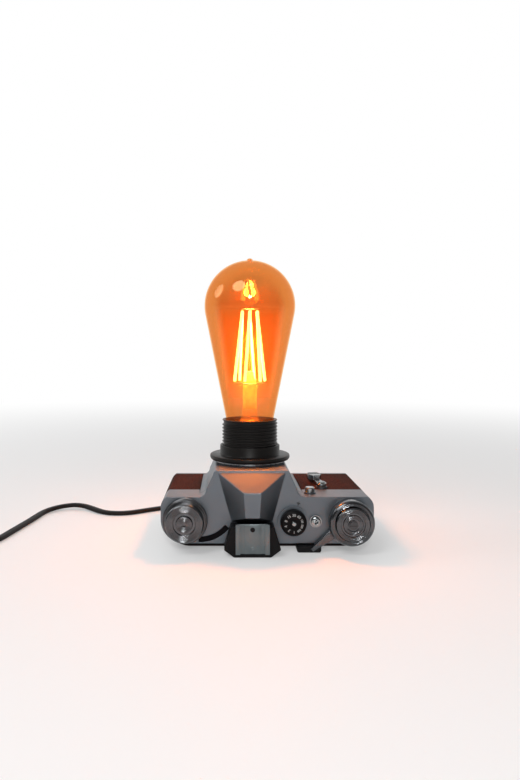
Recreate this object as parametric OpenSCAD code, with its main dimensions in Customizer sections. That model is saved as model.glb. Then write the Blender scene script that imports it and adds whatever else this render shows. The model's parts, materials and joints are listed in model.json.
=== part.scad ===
// Camera lamp: a film camera lying on its back with a lampholder in its lens mount.
// X runs to the camera's wind side, Y from its top plate to its base, Z up from the table.

/* [Camera body] */
// Width of the body
body_w = 138; // [130:1:150]
// Height of the body from base to top plate
body_h = 79; // [75:1:86]
// Thickness of the body in front of the back door
body_t = 30.2; // [28.4:0.2:34]
// Thickness of the back door
door_t = 4.4; // [4:0.1:5.6]
// Height of the door's outer face over the table
rest_h = 0.6; // [0.4:0.1:2]
// Radius of the body's back corners
back_r = 19; // [17:0.5:20]
// Radius of the top plate's back corners
top_r = 15.5; // [15.2:0.1:16.5]
// Radius of the rounding towards the front
front_r = 8.2; // [8:0.1:10]
// Depth of that rounding, which ends in an edge at the front face
front_drop = 7; // [6:0.1:7.6]
// Wall of the body casting
casting_wall = 2.4; // [2:0.1:3]
// Thickness of the leatherette
leather_t = 0.6; // [0.4:0.1:1]
// Thickness of the base plate
base_t = 3; // [2.4:0.2:4]
// Sheet of the top plate
plate_t = 1; // [0.8:0.1:1.4]
// Depth of the top plate's front skirt
skirt_front = 22; // [18:1:25]
// Depth of its back skirt
skirt_back = 9; // [7:0.5:10]
// Depth of the deck that carries the controls, under the top plate
deck_drop = 11; // [10.5:0.5:12]
// Skin of the back door
door_skin = 1.6; // [1.2:0.1:2]
// Radius of the door's hinge barrel
barrel_r = 2.1; // [1.8:0.1:2.3]
// Radius of the door's hinge pin
hinge_pin_r = 0.8; // [0.6:0.1:1]
// Radius of the feet on the door
foot_r = 5; // [4:0.5:6]

/* [Nose and prism roof] */
// Place of the lens axis across the body
lens_x = -10; // [-13:0.5:-7]
// Depth of the lens axis under the top plate
lens_down = 38; // [37.5:0.5:40]
// How far the nose stands out from the body's front
nose_t = 17; // [16:0.5:22]
// Width of the nose at its front
nose_w = 50; // [50:0.5:54]
// Width of the nose at its root
nose_root_w = 58.6; // [57:0.5:61]
// Radius of the flare at the nose's root
flare_r = 5; // [4:0.5:6]
// Depth of the top plate's skirt on the nose
skirt_nose = 12; // [11:0.5:13]
// Height of the prism roof
roof_h = 13; // [11:0.5:14]
// Half width of the roof at its front
roof_front = 22.6; // [20:0.2:23]
// Half width of the roof at its back
roof_back = 13.7; // [12:0.1:15]
// Half width of the roof's flat top
roof_flat = 5; // [4:0.5:7]
// Length of the roof's flat top
roof_flat_l = 15.6; // [13:0.2:17]
// Length of the roof's front slope
roof_slope_l = 11.2; // [9:0.2:13]

/* [Eyepiece and shoe] */
// Height of the shoe adapter over the top plate
adapter_h = 12.6; // [12:0.2:14]
// Width of the shoe adapter
adapter_w = 36; // [33:0.5:38]
// Length of the shoe adapter from the table up
adapter_l = 19; // [18:0.5:19.5]
// Width of the slot in the accessory shoe
shoe_slot_w = 18.7; // [18.5:0.05:19]
// Height of the slot under the rails
shoe_slot_h = 1.6; // [1.5:0.05:2]
// Sheet of the shoe
shoe_sheet = 0.4; // [0.3:0.1:0.6]
// Side wall of the shoe
shoe_wall = 1.35; // [1:0.05:1.6]
// Length of the shoe
shoe_l = 18.7; // [17:0.1:19]
// Width of each folded rail
rail_w = 3; // [2.5:0.1:4]
// Width of the eyepiece frame
eyepiece_w = 19; // [17:0.5:22]
// Height of the eyepiece frame
eyepiece_h = 10; // [9:0.2:10.8]

/* [Controls] */
// Radius of the film speed ring
speed_ring_r = 14.5; // [13:0.1:15]
// Height of the film speed ring
speed_ring_h = 5; // [4:0.2:6]
// Radius of the rewind knob
rewind_r = 12.4; // [11:0.1:13]
// Height of the rewind knob
rewind_h = 6.2; // [5:0.2:7]
// Radius of the rewind post
rewind_post_r = 3; // [2.5:0.1:3.5]
// Radius of the wind hub
hub_r = 14.5; // [13:0.1:15]
// Height of the wind hub
hub_h = 11.4; // [10:0.2:12]
// Radius of the frame counter disc
counter_r = 10.6; // [9.5:0.1:11]
// Height of the counter disc
counter_h = 5; // [4.5:0.1:5.2]
// Radius of the wind post
wind_post_r = 3; // [2.5:0.1:3.5]
// Reach of the wind lever's arm from the hub's axis
lever_reach = 31; // [29:0.5:32]
// Width of the lever's arm
lever_w = 7; // [6:0.1:8]
// Thickness of the lever's arm
lever_t = 3; // [2:0.1:3.4]
// Length of the lever's grip
grip_l = 15.6; // [13:0.2:17]
// Thickness of the lever's grip
grip_t = 4.2; // [3.6:0.1:4.6]
// Radius of the shutter speed dial
speed_dial_r = 8.4; // [7.5:0.1:9]
// Height of the shutter speed dial
speed_dial_h = 5.4; // [4:0.1:6]
// Radius of the release button
release_r = 3.1; // [2.8:0.1:4]
// Travel of the release button
release_travel = 2.5; // [1.5:0.1:3]
// Radius of the self-timer button
timer_button_r = 3.2; // [2.4:0.1:3.6]
// Travel of the self-timer button
timer_button_travel = 1.5; // [1:0.1:2]
// Length of the self-timer lever
timer_lever_l = 22; // [19:0.5:24]
// Radius of the self-timer boss
timer_boss_r = 3.8; // [3.6:0.1:4.6]
// Mean radius of the meter window's arc
meter_r = 22.9; // [21:0.1:23.5]
// Width of the meter window
meter_w = 3.3; // [2.6:0.1:3.6]

/* [Lampholder] */
// Radius of the skirt over its thread
skirt_r = 19.45; // [19:0.05:19.8]
// Wall of the skirt under its thread
skirt_wall = 1.5; // [1.2:0.1:1.5]
// Pitch of the skirt's thread
thread_pitch = 2.3; // [2.1:0.1:3]
// How far the skirt stands over the lens mount
skirt_rise = 27.8; // [26:0.2:30]
// Radius of the lampholder's base
holder_r = 23; // [22.4:0.1:23.2]
// Height of the lampholder's base
holder_h = 20; // [19:0.5:21]
// Thickness of the lens mount ring
mount_t = 1.6; // [1.2:0.1:2]
// Radius of the lens mount's opening
mount_bore_r = 21; // [20.6:0.1:21.4]
// Radius of the lens mount ring
mount_r = 24; // [23:0.1:24.4]
// Wall of the front housing under the mount ring
front_wall = 3; // [2.4:0.1:3.4]
// Radius of the shade ring's flange
flange_r = 28; // [26:0.2:29]
// Thickness of the flange
flange_t = 3.4; // [3:0.1:4]
// Radius of the shade ring's collar
collar_r = 20.95; // [20.6:0.05:21.5]
// Height of the collar
collar_h = 6.6; // [6:0.2:9]

/* [Bulb] */
// Length of the bulb
bulb_l = 142; // [138:1:148]
// Largest radius of the glass
bulb_r = 32; // [30:0.2:32.6]
// Thickness of the glass
glass_t = 0.8; // [0.6:0.1:1]
// Radius of the screw cap
cap_r = 13.1; // [12.9:0.05:13.2]
// Length of the screw cap with its contact
cap_l = 24; // [23:0.5:25]
// Number of filaments
filament_count = 6; // [4:1:8]
// Radius of a filament
filament_r = 0.8; // [0.6:0.05:1]
// Length of a filament, measured upwards
filament_l = 50; // [44:1:54]

/* [Cord] */
// Width of the flat cord
cord_w = 5.8; // [5:0.1:6.2]
// Thickness of the flat cord
cord_t = 3.4; // [3:0.1:3.6]
// Radius of the coil's outer turns
coil_r = 40; // [39:0.5:41]
// Step from turn to turn
coil_step = 4.4; // [4.3:0.05:4.6]
// Turns in the coil
coil_turns = 6.5; // [5.5:1:7.5]
// Length of the inline switch
switch_l = 60; // [60:1:60]
// Width of the inline switch
switch_w = 26; // [24:0.5:28]
// Height of the inline switch
switch_h = 16; // [15:0.5:18]
// Length of the plug's body
plug_l = 36; // [34:1:37]
// Width of the plug's face
plug_w = 33; // [32:0.5:34]
// Thickness of the plug
plug_t = 13.7; // [13:0.1:14]

/* [Hidden] */
$fn = 64;
// Overshoot of a cut past the face it opens
cut = 1;
// Clearance of a running fit
run_gap = 0.05;
// Clearance between pieces that only stand next to each other
side_gap = 0.3;
// Clearance between sheet pieces of one body
sheet_gap = 0.2;

// Planes of the camera, from the near end to the far end and from the table up
shoe_top = adapter_h + shoe_sheet + shoe_slot_h + shoe_sheet;
y_base = (body_h + shoe_top) / 2;
y_top = y_base - body_h;
y_deck = y_top + deck_drop;
z_door = rest_h;
z_back = z_door + door_t;
z_front = z_back + body_t;
z_nose = z_front + nose_t;
z_mount = z_nose + mount_t;
half_w = body_w / 2;
lens_y = y_top + lens_down;

// Places of the controls on the top plate
dial_x = half_w - top_r - 0.5;
dial_z = z_back + top_r;
speed_dial_x = lens_x + 26.6;
speed_dial_z = dial_z - 0.9;
release_x = lens_x + 41;
release_z = dial_z - 0.7;
meter_x = lens_x - 33.5;
meter_z = dial_z + 10.1;
meter_start = -92;
meter_sweep = 52;
needle_angle = -62;
collar_t = 1.2;

// Places on the front and at the ends
timer_button_x = lens_x + 38.8;
timer_button_y = y_top + 11;
timer_x = lens_x + 49;
timer_y = y_top + skirt_front + timer_boss_r + 0.9;
cord_x = lens_x - 17;
cord_z = z_back + 7;
hinge_x = half_w - 12;
hinge_z = z_back - 0.8;
door_near = y_top + skirt_back + 0.4;
door_far = y_base - base_t - 0.4;
chamber_near = y_deck + casting_wall;
chamber_far = y_base - base_t - casting_wall;
mirror_half = 25;
web_t = 3;
// Height at which the top plate's long front skirt begins
step_z = dial_z - 3.5;

// Heights in the lampholder and the bulb
z_rim = z_mount + skirt_rise;
z_shoulder = z_nose - front_wall;
contact_drop = 0.8;
leaf_h = 6;
z_contact = z_mount - contact_drop;
z_insert = z_contact - leaf_h;
insert_t = 6;
skirt_seat = 6.2;
skirt_in = skirt_r - skirt_wall - 0.5;
insert_r = 17;
z_cap = z_contact + cap_l;
nub_h = 1.6;
z_round = z_contact + bulb_l - nub_h - bulb_r;
neck_h = 6;
z_neck = z_cap + neck_h;
neck_gap = 0.5;
neck_r = skirt_in - neck_gap;
// Half angle of the glass between its neck and its round end, which it meets without a bend
bulb_angle = asin(bulb_r / norm([neck_r, z_round - z_neck])) - atan2(neck_r, z_round - z_neck);
filament_bottom = 11;
filament_top = 6;
filament_rise = 55;
z_filament = z_contact + filament_rise;
filament_twist = 20;
filament_phase = 10;

// Colours that tell the pieces apart
CHROME = "silver";
DARK = "dimgray";
BLACK = [0.15, 0.15, 0.15];

// Builds a shape drawn in X and Z from y_near to y_far
module along_y(y_near, y_far) {
    translate([0, y_far, 0]) rotate([90, 0, 0]) linear_extrude(y_far - y_near) children();
}

// Turns a piece so that it stands out of the top plate, its foot on the plate's outer face
module on_top(x, z) {
    translate([x, y_top, z]) rotate([90, 0, 0]) children();
}

// A ring from its foot up
module ring(r_out, r_in, h) {
    difference() {
        cylinder(r = r_out, h = h);
        translate([0, 0, -cut]) cylinder(r = r_in, h = h + 2 * cut);
    }
}

// A disc with a milled edge
module milled(r, h, count, depth) {
    step = 360 / count;
    linear_extrude(h) polygon([
        for (i = [0 : count - 1], part = [0, 0.3, 0.5, 0.8])
            (part < 0.4 ? r : r - depth) * [cos((i + part) * step), sin((i + part) * step)]
    ]);
}

// A straight round rod between two points
module rod(from, to, r) {
    way = to - from;
    translate(from) rotate([0, acos(way[2] / norm(way)), atan2(way[1], way[0])]) cylinder(r = r, h = norm(way));
}

// A rounded plate in X and Y
module rounded(size, r) {
    for (sx = [-1, 1], sy = [-1, 1]) translate([sx * (size[0] / 2 - r), sy * (size[1] / 2 - r)]) circle(r);
    square([size[0] - 2 * r, size[1]], center = true);
    square([size[0], size[1] - 2 * r], center = true);
}

// Plan of a camera end to end: wide corners at the back, and a rounding that the front face cuts
module plan(half, back, front, r_back, r_front, drop) {
    intersection() {
        for (side = [-1, 1]) translate([side * (half - r_back), back + r_back]) circle(r_back);
        translate([-half, back]) square([2 * half, r_back]);
    }
    intersection() {
        for (side = [-1, 1]) translate([side * (half - r_front), front - drop]) circle(r_front);
        translate([-half, back + r_back]) square([2 * half, front - back - r_back]);
    }
    translate([r_back - half, back]) square([2 * (half - r_back), front - back]);
    translate([-half, back + r_back]) square([2 * half, front - back - r_back - drop]);
    translate([r_front - half, back + r_back]) square([2 * (half - r_front), front - back - r_back]);
}

module body_plan(inset) {
    plan(half_w - inset, z_door + inset, z_front - inset, back_r - inset, front_r - inset, front_drop - inset);
}

// The body's plan in front of the door
module casting_plan(inset) {
    intersection() {
        body_plan(inset);
        translate([-body_w, z_back]) square([2 * body_w, body_t]);
    }
}

module top_plan(inset) {
    plan(half_w - inset, z_back + inset, z_front - inset, top_r - inset, front_r - inset, front_drop - inset);
}

function arc(x, z, r, from, to, steps) = [
    for (i = [0 : steps]) let (a = from + (to - from) * i / steps) [x + r * cos(a), z + r * sin(a)]
];

// Plan of the nose, with a flare at its root and round front corners
module nose_plan(inset, root_z) {
    tip_r = 2.5;
    flare_x = nose_root_w / 2 + flare_r;
    right = concat(
        [[flare_x, root_z]],
        arc(flare_x, z_front + flare_r, flare_r + inset, 270, 180, 6),
        arc(nose_w / 2 - tip_r, z_nose - tip_r, tip_r - inset, 0, 90, 5)
    );
    left = [for (i = [len(right) - 1 : -1 : 0]) [-right[i][0], right[i][1]]];
    translate([lens_x, 0]) polygon(concat(right, left));
}

// The prism roof, from under the plate to its flat top, drawn in by an inset
module roof(inset, foot_y) {
    front_z = z_nose - 0.8 - inset;
    edge_z = front_z - roof_slope_l;
    tail_z = edge_z - roof_flat_l;
    back_z = adapter_l + side_gap + inset;
    top_y = y_top - roof_h + inset;
    base = roof_front - inset;
    tail = roof_back - inset;
    flat = roof_flat - inset / 2;
    points = [
        [-base, foot_y, front_z], [base, foot_y, front_z], [tail, foot_y, back_z], [-tail, foot_y, back_z],
        [-flat - 0.5, top_y, edge_z], [flat + 0.5, top_y, edge_z],
        [flat - 0.5, top_y, tail_z + inset], [0.5 - flat, top_y, tail_z + inset]
    ];
    faces = [[0, 3, 2], [0, 2, 1], [4, 5, 6], [4, 6, 7], [0, 1, 5], [0, 5, 4],
             [1, 2, 5], [2, 6, 5], [2, 3, 7], [2, 7, 6], [3, 0, 4], [3, 4, 7]];
    translate([lens_x, 0, 0]) polyhedron(points, faces);
}

module body_casting() {
    neck_inset = plate_t + sheet_gap;
    color(DARK) difference() {
        union() {
            along_y(y_top + skirt_front, y_base - base_t) casting_plan(leather_t);
            along_y(y_top + skirt_back, y_top + skirt_front + cut) intersection() {
                casting_plan(leather_t);
                translate([-body_w, 0]) square([2 * body_w, step_z]);
            }
            along_y(y_deck, y_top + skirt_front + cut) top_plan(neck_inset);
        }
        // The two film chambers and the mirror box, all open to the back
        along_y(chamber_near, chamber_far) chamber_plan();
        translate([lens_x - mirror_half, lens_y - mirror_half, z_back - cut])
            cube([2 * mirror_half, chamber_far - lens_y + mirror_half, body_t + 2 * cut]);
        // Hole of the cord's grommet
        cord_place(chamber_far - cut) cylinder(r = grommet_r + run_gap, h = casting_wall + 2 * cut);
        // Bores of the posts and stems in the deck
        deck_bore(-dial_x, dial_z, rewind_post_r + run_gap);
        deck_bore(dial_x, dial_z, wind_post_r + run_gap);
        deck_bore(speed_dial_x, speed_dial_z, dial_stem_r + run_gap);
        deck_bore(release_x, release_z, release_stem_r + run_gap);
        deck_bore(meter_x, meter_z, needle_pin_r + run_gap);
        // Recess of the door latch, holes of the timer's pieces and seats of the hinge and the bush
        latch_recess();
        translate([timer_x, timer_y, z_front - leather_t - 3]) cylinder(r = timer_pin_r + run_gap, h = 3 + cut);
        translate([timer_button_x, timer_button_y, z_front - plate_t - timer_button_travel - 1.2])
            cylinder(r = timer_button_r + side_gap, h = 4);
        translate([hinge_x, door_near - cut, hinge_z]) rotate([-90, 0, 0])
            cylinder(r = barrel_r + side_gap, h = door_far - door_near + 2 * cut);
        bush_place() cylinder(r = bush_r + run_gap, h = bush_l + cut);
    }
    // Outer knuckles of the door's hinge
    color(DARK) for (span = knuckle_spans(0)) difference() {
        union() {
            hinge_at(span[0]) cylinder(r = barrel_r, h = span[1]);
            translate([hinge_x - barrel_r, span[0], hinge_z]) cube([2 * barrel_r, span[1], barrel_r + 2]);
        }
        hinge_at(span[0] - cut) cylinder(r = hinge_pin_r, h = span[1] + 2 * cut);
    }
}

module chamber_plan() {
    intersection() {
        body_plan(leather_t + casting_wall);
        difference() {
            translate([-body_w, z_back - cut]) square([2 * body_w, body_t + cut]);
            for (side = [-1, 1]) translate([lens_x + side * (mirror_half + web_t / 2) - web_t / 2, 0])
                square([web_t, 3 * body_t]);
        }
    }
}

module deck_bore(x, z, r) {
    translate([x, y_deck - cut, z]) rotate([-90, 0, 0]) cylinder(r = r, h = casting_wall + 2 * cut);
}

// Spans of the hinge's knuckles along Y: even ones on the casting, odd ones on the door
knuckle_count = 5;
knuckle_l = (door_far - door_near) / knuckle_count;
function knuckle_spans(first) = [
    for (i = [first : 2 : knuckle_count - 1]) [door_near + i * knuckle_l + side_gap / 2, knuckle_l - side_gap]
];

module hinge_at(y) {
    translate([hinge_x, y, hinge_z]) rotate([-90, 0, 0]) children();
}

module hinge_pin() {
    color(CHROME) hinge_at(door_near + side_gap)
        cylinder(r = hinge_pin_r, h = door_far - door_near - 2 * side_gap);
}

// The bush that takes a tripod screw, under the middle of the body
bush_r = 6;
bush_l = 7;
bush_bore_r = 2.55;
module bush_place() {
    translate([lens_x, y_base, dial_z - 4]) rotate([90, 0, 0]) children();
}

module tripod_bush() {
    color(CHROME) bush_place() ring(bush_r, bush_bore_r, bush_l);
}

base_screw_r = 2.4;
base_screw_h = 1.4;
base_screw_places = [[-half_w + 12, dial_z], [lens_x + 30, dial_z - 6], [half_w - 12, dial_z]];
module base_screw_place(p) {
    translate([p[0], y_base - base_screw_h, p[1]]) rotate([-90, 0, 0]) children();
}

module base_plate() {
    color(CHROME) difference() {
        along_y(y_base - base_t, y_base) casting_plan(0);
        bush_place() translate([0, 0, -cut]) cylinder(r = bush_r + run_gap, h = bush_l + cut);
        cord_place(y_base - base_t - cut) cylinder(r = grommet_r + run_gap, h = base_t + 2 * cut);
        for (p = base_screw_places) base_screw_place(p)
            cylinder(r = base_screw_r + run_gap, h = base_screw_h + cut);
    }
}

module base_screws() {
    color(CHROME) for (p = base_screw_places) base_screw_place(p) difference() {
        cylinder(r = base_screw_r, h = base_screw_h);
        translate([-base_screw_r - cut, -0.3, base_screw_h - 0.6])
            cube([2 * (base_screw_r + cut), 0.6, 0.6 + cut]);
    }
}

module top_plate() {
    flare_half = nose_root_w / 2 + flare_r;
    color(CHROME) difference() {
        union() {
            along_y(y_top, y_top + skirt_back) top_plan(0);
            along_y(y_top, y_top + skirt_front) intersection() {
                top_plan(0);
                translate([-body_w, step_z]) square([2 * body_w, body_t]);
            }
            along_y(y_top, y_top + skirt_nose) nose_plan(0, z_front - 4);
            roof(0, y_top + plate_t / 2);
        }
        along_y(y_top + plate_t, y_top + skirt_front + cut) {
            top_plan(plate_t);
            nose_plan(plate_t, z_front - 5);
        }
        roof(plate_t, y_top + plate_t + cut);
        // The nose's root stays open below its own skirt
        translate([lens_x - flare_half, y_top + skirt_nose, z_front - 3])
            cube([2 * flare_half, skirt_front, 3 + nose_t + cut]);
        // Holes for the controls and the meter window
        top_hole(-dial_x, dial_z, rewind_bush_r + run_gap);
        top_hole(dial_x, dial_z, wind_post_r + run_gap);
        top_hole(speed_dial_x, speed_dial_z, dial_stem_r + 2 * side_gap);
        top_hole(release_x, release_z, release_r + side_gap);
        meter_slot(plate_t + 2 * cut, -cut, 0);
        translate([timer_button_x, timer_button_y, z_front - plate_t - cut])
            cylinder(r = timer_button_r + side_gap, h = plate_t + 2 * cut);
    }
}

module top_hole(x, z, r) {
    translate([x, y_top - cut, z]) rotate([-90, 0, 0]) cylinder(r = r, h = plate_t + 2 * cut);
}

// The arc of the meter window, from a depth under the plate's face
module meter_slot(h, from, inset) {
    translate([meter_x, y_top + from + h, meter_z]) rotate([90, 0, 0]) rotate([0, 0, meter_start])
        rotate_extrude(angle = meter_sweep) translate([meter_r - meter_w / 2 + inset, 0])
            square([meter_w - 2 * inset, h]);
}

module meter_window() {
    color("lightblue") meter_slot(plate_t, 0, run_gap);
}

needle_pin_r = 1;
module meter_needle() {
    needle_y = y_top + plate_t + 1.6;
    color("orange") {
        translate([meter_x, y_deck + casting_wall, meter_z]) rotate([90, 0, 0])
            cylinder(r = needle_pin_r, h = deck_drop + casting_wall - plate_t - 1.6);
        translate([meter_x, needle_y, meter_z]) rotate([90, 0, 0]) rotate([0, 0, needle_angle])
            translate([0, -0.3, 0]) cube([meter_r + 0.8, 0.6, 0.6]);
    }
}

module pentaprism() {
    seat_half = 12;
    color("white") {
        roof(2 * plate_t, y_top + plate_t + cut);
        translate([lens_x - seat_half, y_top + plate_t, adapter_l + 5])
            cube([2 * seat_half, deck_drop - plate_t, 12]);
    }
}

module front_housing() {
    cavity_r = holder_r + 1.2;
    foot_z = z_front - leather_t;
    color(CHROME) difference() {
        along_y(y_top + skirt_nose, y_base - base_t) intersection() {
            nose_plan(0, foot_z);
            translate([-body_w, foot_z]) square([2 * body_w, body_w]);
        }
        translate([lens_x, lens_y, foot_z - cut]) cylinder(r = cavity_r, h = z_shoulder - foot_z + cut);
        translate([lens_x, lens_y, z_shoulder - cut]) cylinder(r = mount_bore_r, h = front_wall + 2 * cut);
    }
}

module lens_mount_ring() {
    color(CHROME) translate([lens_x, lens_y, z_nose]) ring(mount_r, mount_bore_r, mount_t);
}

// One wing's leatherette, round the end of the body
module leatherette(side) {
    edge = lens_x + side * (nose_root_w / 2 + flare_r + sheet_gap);
    far = side * body_w;
    color("saddlebrown") difference() {
        along_y(y_top + skirt_front + sheet_gap, y_base - base_t - sheet_gap) intersection() {
            difference() {
                casting_plan(0);
                casting_plan(leather_t);
            }
            translate([min(edge, far), z_back]) square([abs(far - edge), body_t + cut]);
        }
        latch_recess();
        translate([timer_x, timer_y, z_front - cut]) cylinder(r = timer_boss_r + sheet_gap, h = 2 * cut);
    }
}

module leatherette_left() leatherette(-1);

module leatherette_right() leatherette(1);

// Wall of the eyepiece frame, and its place behind the roof
eyepiece_wall = 1.5;
eyepiece_y = y_top - eyepiece_h - 0.6;
module eyepiece_frame() {
    inner_w = eyepiece_w - 2 * eyepiece_wall;
    color(DARK) difference() {
        translate([lens_x - eyepiece_w / 2, eyepiece_y, 2])
            cube([eyepiece_w, eyepiece_h, adapter_l - 2]);
        translate([lens_x - inner_w / 2, eyepiece_y + eyepiece_wall, 2 - cut])
            cube([inner_w, eyepiece_h - 2 * eyepiece_wall, adapter_l + cut]);
    }
}

module eyepiece_lens() {
    inner_w = eyepiece_w - 2 * eyepiece_wall - 2 * run_gap;
    color("lightblue") translate([lens_x - inner_w / 2, eyepiece_y + eyepiece_wall + run_gap, 4])
        cube([inner_w, eyepiece_h - 2 * eyepiece_wall - 2 * run_gap, 2]);
}

// Block that slips over the eyepiece and carries the shoe; the camera's near end rests on it
module shoe_adapter() {
    half = adapter_w / 2;
    tail = roof_back;
    foot = half - 6.2;
    side_z = 4.6;
    outline = [[-tail, adapter_l], [tail, adapter_l], [half, side_z], [foot, 0], [-foot, 0], [-half, side_z]];
    window = eyepiece_w - 5;
    color(BLACK) difference() {
        union() {
            along_y(y_top - adapter_h, y_top) translate([lens_x, 0]) polygon(outline);
            along_y(y_top - cut, y_top + 6) translate([lens_x, 0]) intersection() {
                polygon(outline);
                translate([-half, 0]) square([2 * half, z_back - side_gap]);
            }
        }
        translate([lens_x - eyepiece_w / 2 - run_gap, eyepiece_y - run_gap, 2 - run_gap])
            cube([eyepiece_w + 2 * run_gap, eyepiece_h + 2 * run_gap, adapter_l + cut]);
        translate([lens_x - window / 2, eyepiece_y + 1.6, -cut]) cube([window, eyepiece_h - 3.2, 2 + 2 * cut]);
        for (z = shoe_screw_places) shoe_screw_place(z) translate([0, 0, -cut])
            cylinder(r = shoe_screw_r + run_gap, h = shoe_screw_l + 0.1 + cut);
    }
}

// Channel with two folded rails
shoe_z = 2.5;
shoe_screw_r = 0.75;
shoe_head_r = 1.5;
shoe_screw_l = 1.5;
shoe_screw_places = [shoe_z + 3, shoe_z + shoe_l - 3.6];
module shoe_screw_place(z) {
    translate([lens_x, y_top - adapter_h, z]) rotate([-90, 0, 0]) children();
}

module accessory_shoe() {
    out = shoe_slot_w / 2 + shoe_wall;
    y_foot = y_top - adapter_h;
    y_slot = y_foot - shoe_sheet;
    y_rail = y_slot - shoe_slot_h;
    y_rim = y_rail - shoe_sheet;
    color(CHROME) difference() {
        translate([lens_x, 0, shoe_z]) linear_extrude(shoe_l) polygon([
            [-out, y_foot], [out, y_foot], [out, y_rim], [out - rail_w, y_rim], [out - rail_w, y_rail],
            [shoe_slot_w / 2, y_rail], [shoe_slot_w / 2, y_slot], [-shoe_slot_w / 2, y_slot],
            [-shoe_slot_w / 2, y_rail], [rail_w - out, y_rail], [rail_w - out, y_rim], [-out, y_rim]
        ]);
        for (z = shoe_screw_places) shoe_screw_place(z) translate([0, 0, -3])
            cylinder(r = shoe_head_r + 0.1, h = 6);
    }
}

module shoe_screws() {
    color(DARK) for (z = shoe_screw_places) shoe_screw_place(z) {
        translate([0, 0, -shoe_sheet]) cylinder(r = shoe_head_r, h = shoe_sheet);
        cylinder(r = shoe_screw_r, h = shoe_screw_l);
    }
}

// Rewind side: bush in the plate, ring on the bush, post through both, knob on the post
rewind_bush_r = 6;
rewind_seat_r = 2.4;
bush_stand = 0.6;
rewind_head = speed_ring_h + bush_stand + side_gap;
knob_roof = 1.6;
knob_chamfer = 1.2;
module rewind_bush() {
    color(CHROME) on_top(-dial_x, dial_z) {
        translate([0, 0, -plate_t - 1])
            ring(rewind_bush_r, rewind_post_r + run_gap, plate_t + 1 + speed_ring_h + bush_stand);
        translate([0, 0, -plate_t - 1.2]) ring(rewind_bush_r + 2, rewind_post_r + run_gap, 1.2);
    }
}

module film_speed_ring() {
    color(CHROME) on_top(-dial_x, dial_z) translate([0, 0, side_gap]) difference() {
        milled(speed_ring_r, speed_ring_h, 40, 0.5);
        translate([0, 0, -cut]) cylinder(r = rewind_bush_r + run_gap, h = speed_ring_h + 2 * cut);
        translate([0, 0, speed_ring_h - 0.6]) ring(speed_ring_r + 1, speed_ring_r - 1.2, 2);
    }
}

module rewind_post() {
    foot = -deck_drop - casting_wall - 12;
    color(CHROME) on_top(-dial_x, dial_z) {
        translate([0, 0, foot]) cylinder(r = rewind_post_r, h = rewind_head - foot);
        translate([0, 0, rewind_head]) cylinder(r = rewind_seat_r, h = rewind_h - knob_roof);
        // Fork that turns the film spool
        translate([-rewind_post_r + 0.4, -0.6, foot - 3]) cube([2 * rewind_post_r - 0.8, 1.2, 3]);
    }
}

module rewind_knob() {
    groove = 7;
    boss = 5.3;
    color(CHROME) on_top(-dial_x, dial_z) translate([0, 0, rewind_head]) difference() {
        union() {
            milled(rewind_r, rewind_h - knob_chamfer, 48, 0.4);
            translate([0, 0, rewind_h - knob_chamfer])
                cylinder(r1 = rewind_r - 0.5, r2 = rewind_r - knob_chamfer, h = 0.7);
            cylinder(r = boss, h = rewind_h);
        }
        translate([0, 0, -cut]) cylinder(r = rewind_seat_r + run_gap, h = rewind_h - knob_roof + cut + run_gap);
        translate([0, 0, rewind_h - knob_roof]) ring(groove, boss, 2);
    }
}

// Wind side: post in the deck, hub with lever, counter disc let into the hub
module wind_post() {
    color(CHROME) on_top(dial_x, dial_z) {
        translate([0, 0, -deck_drop - casting_wall])
            cylinder(r = wind_post_r, h = deck_drop + casting_wall + hub_h + post_stand);
        translate([0, 0, hub_h + post_stand]) difference() {
            cylinder(r = wind_post_r - 0.6, h = 0.5);
            translate([-wind_post_r, -0.3, 0.1]) cube([2 * wind_post_r, 0.6, 1]);
        }
    }
}

post_stand = 2.4;
counter_seat = 3;
lever_angle = 217;
lever_tip = 2.6;
arm_lift = 1;
// The lever's arm, tapering from the hub to the grip
module lever_arm() {
    root = hub_r - 4;
    rotate([0, 0, lever_angle]) translate([0, 0, arm_lift]) linear_extrude(lever_t) polygon([
        [root, -lever_w / 2], [lever_reach - lever_tip / 2, -lever_tip / 2], [lever_reach, 0],
        [lever_reach - lever_tip / 2, lever_tip / 2], [root, lever_w / 2]
    ]);
}

module wind_lever() {
    color(CHROME) on_top(dial_x, dial_z) difference() {
        union() {
            translate([0, 0, side_gap]) cylinder(r = hub_r - 1, h = hub_h - side_gap);
            translate([0, 0, arm_lift + lever_t + 0.5]) milled(hub_r, hub_h - arm_lift - lever_t - 1, 72, 0.35);
            lever_arm();
        }
        translate([0, 0, -cut]) cylinder(r = wind_post_r + run_gap, h = hub_h + 2 * cut);
        translate([0, 0, hub_h - counter_seat]) cylinder(r = counter_r + side_gap, h = counter_seat + cut);
    }
}

// Grip pad, moulded round the end of the arm; the arm's face stands a little proud of it
grip_past = 6.2;
grip_rise = 0.4;
grip_back = 7;
arm_proud = 0.4;
module lever_grip() {
    end = lever_reach * [cos(lever_angle), sin(lever_angle)];
    color(BLACK) on_top(dial_x, dial_z) difference() {
        translate([end[0] + grip_past - grip_l / 2, end[1] + grip_rise, -grip_back])
            linear_extrude(grip_back + arm_lift + lever_t - arm_proud) rounded([grip_l, grip_t], 1.4);
        lever_arm();
    }
}

module counter_disc() {
    color(CHROME) on_top(dial_x, dial_z) translate([0, 0, hub_h - counter_seat + side_gap]) difference() {
        cylinder(r = counter_r, h = counter_h - side_gap);
        translate([0, 0, -cut]) cylinder(r = wind_post_r + run_gap, h = counter_h + 2 * cut);
        translate([0, 0, counter_h - side_gap - 0.7]) ring(7.5, 6.3, 2);
    }
}

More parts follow.
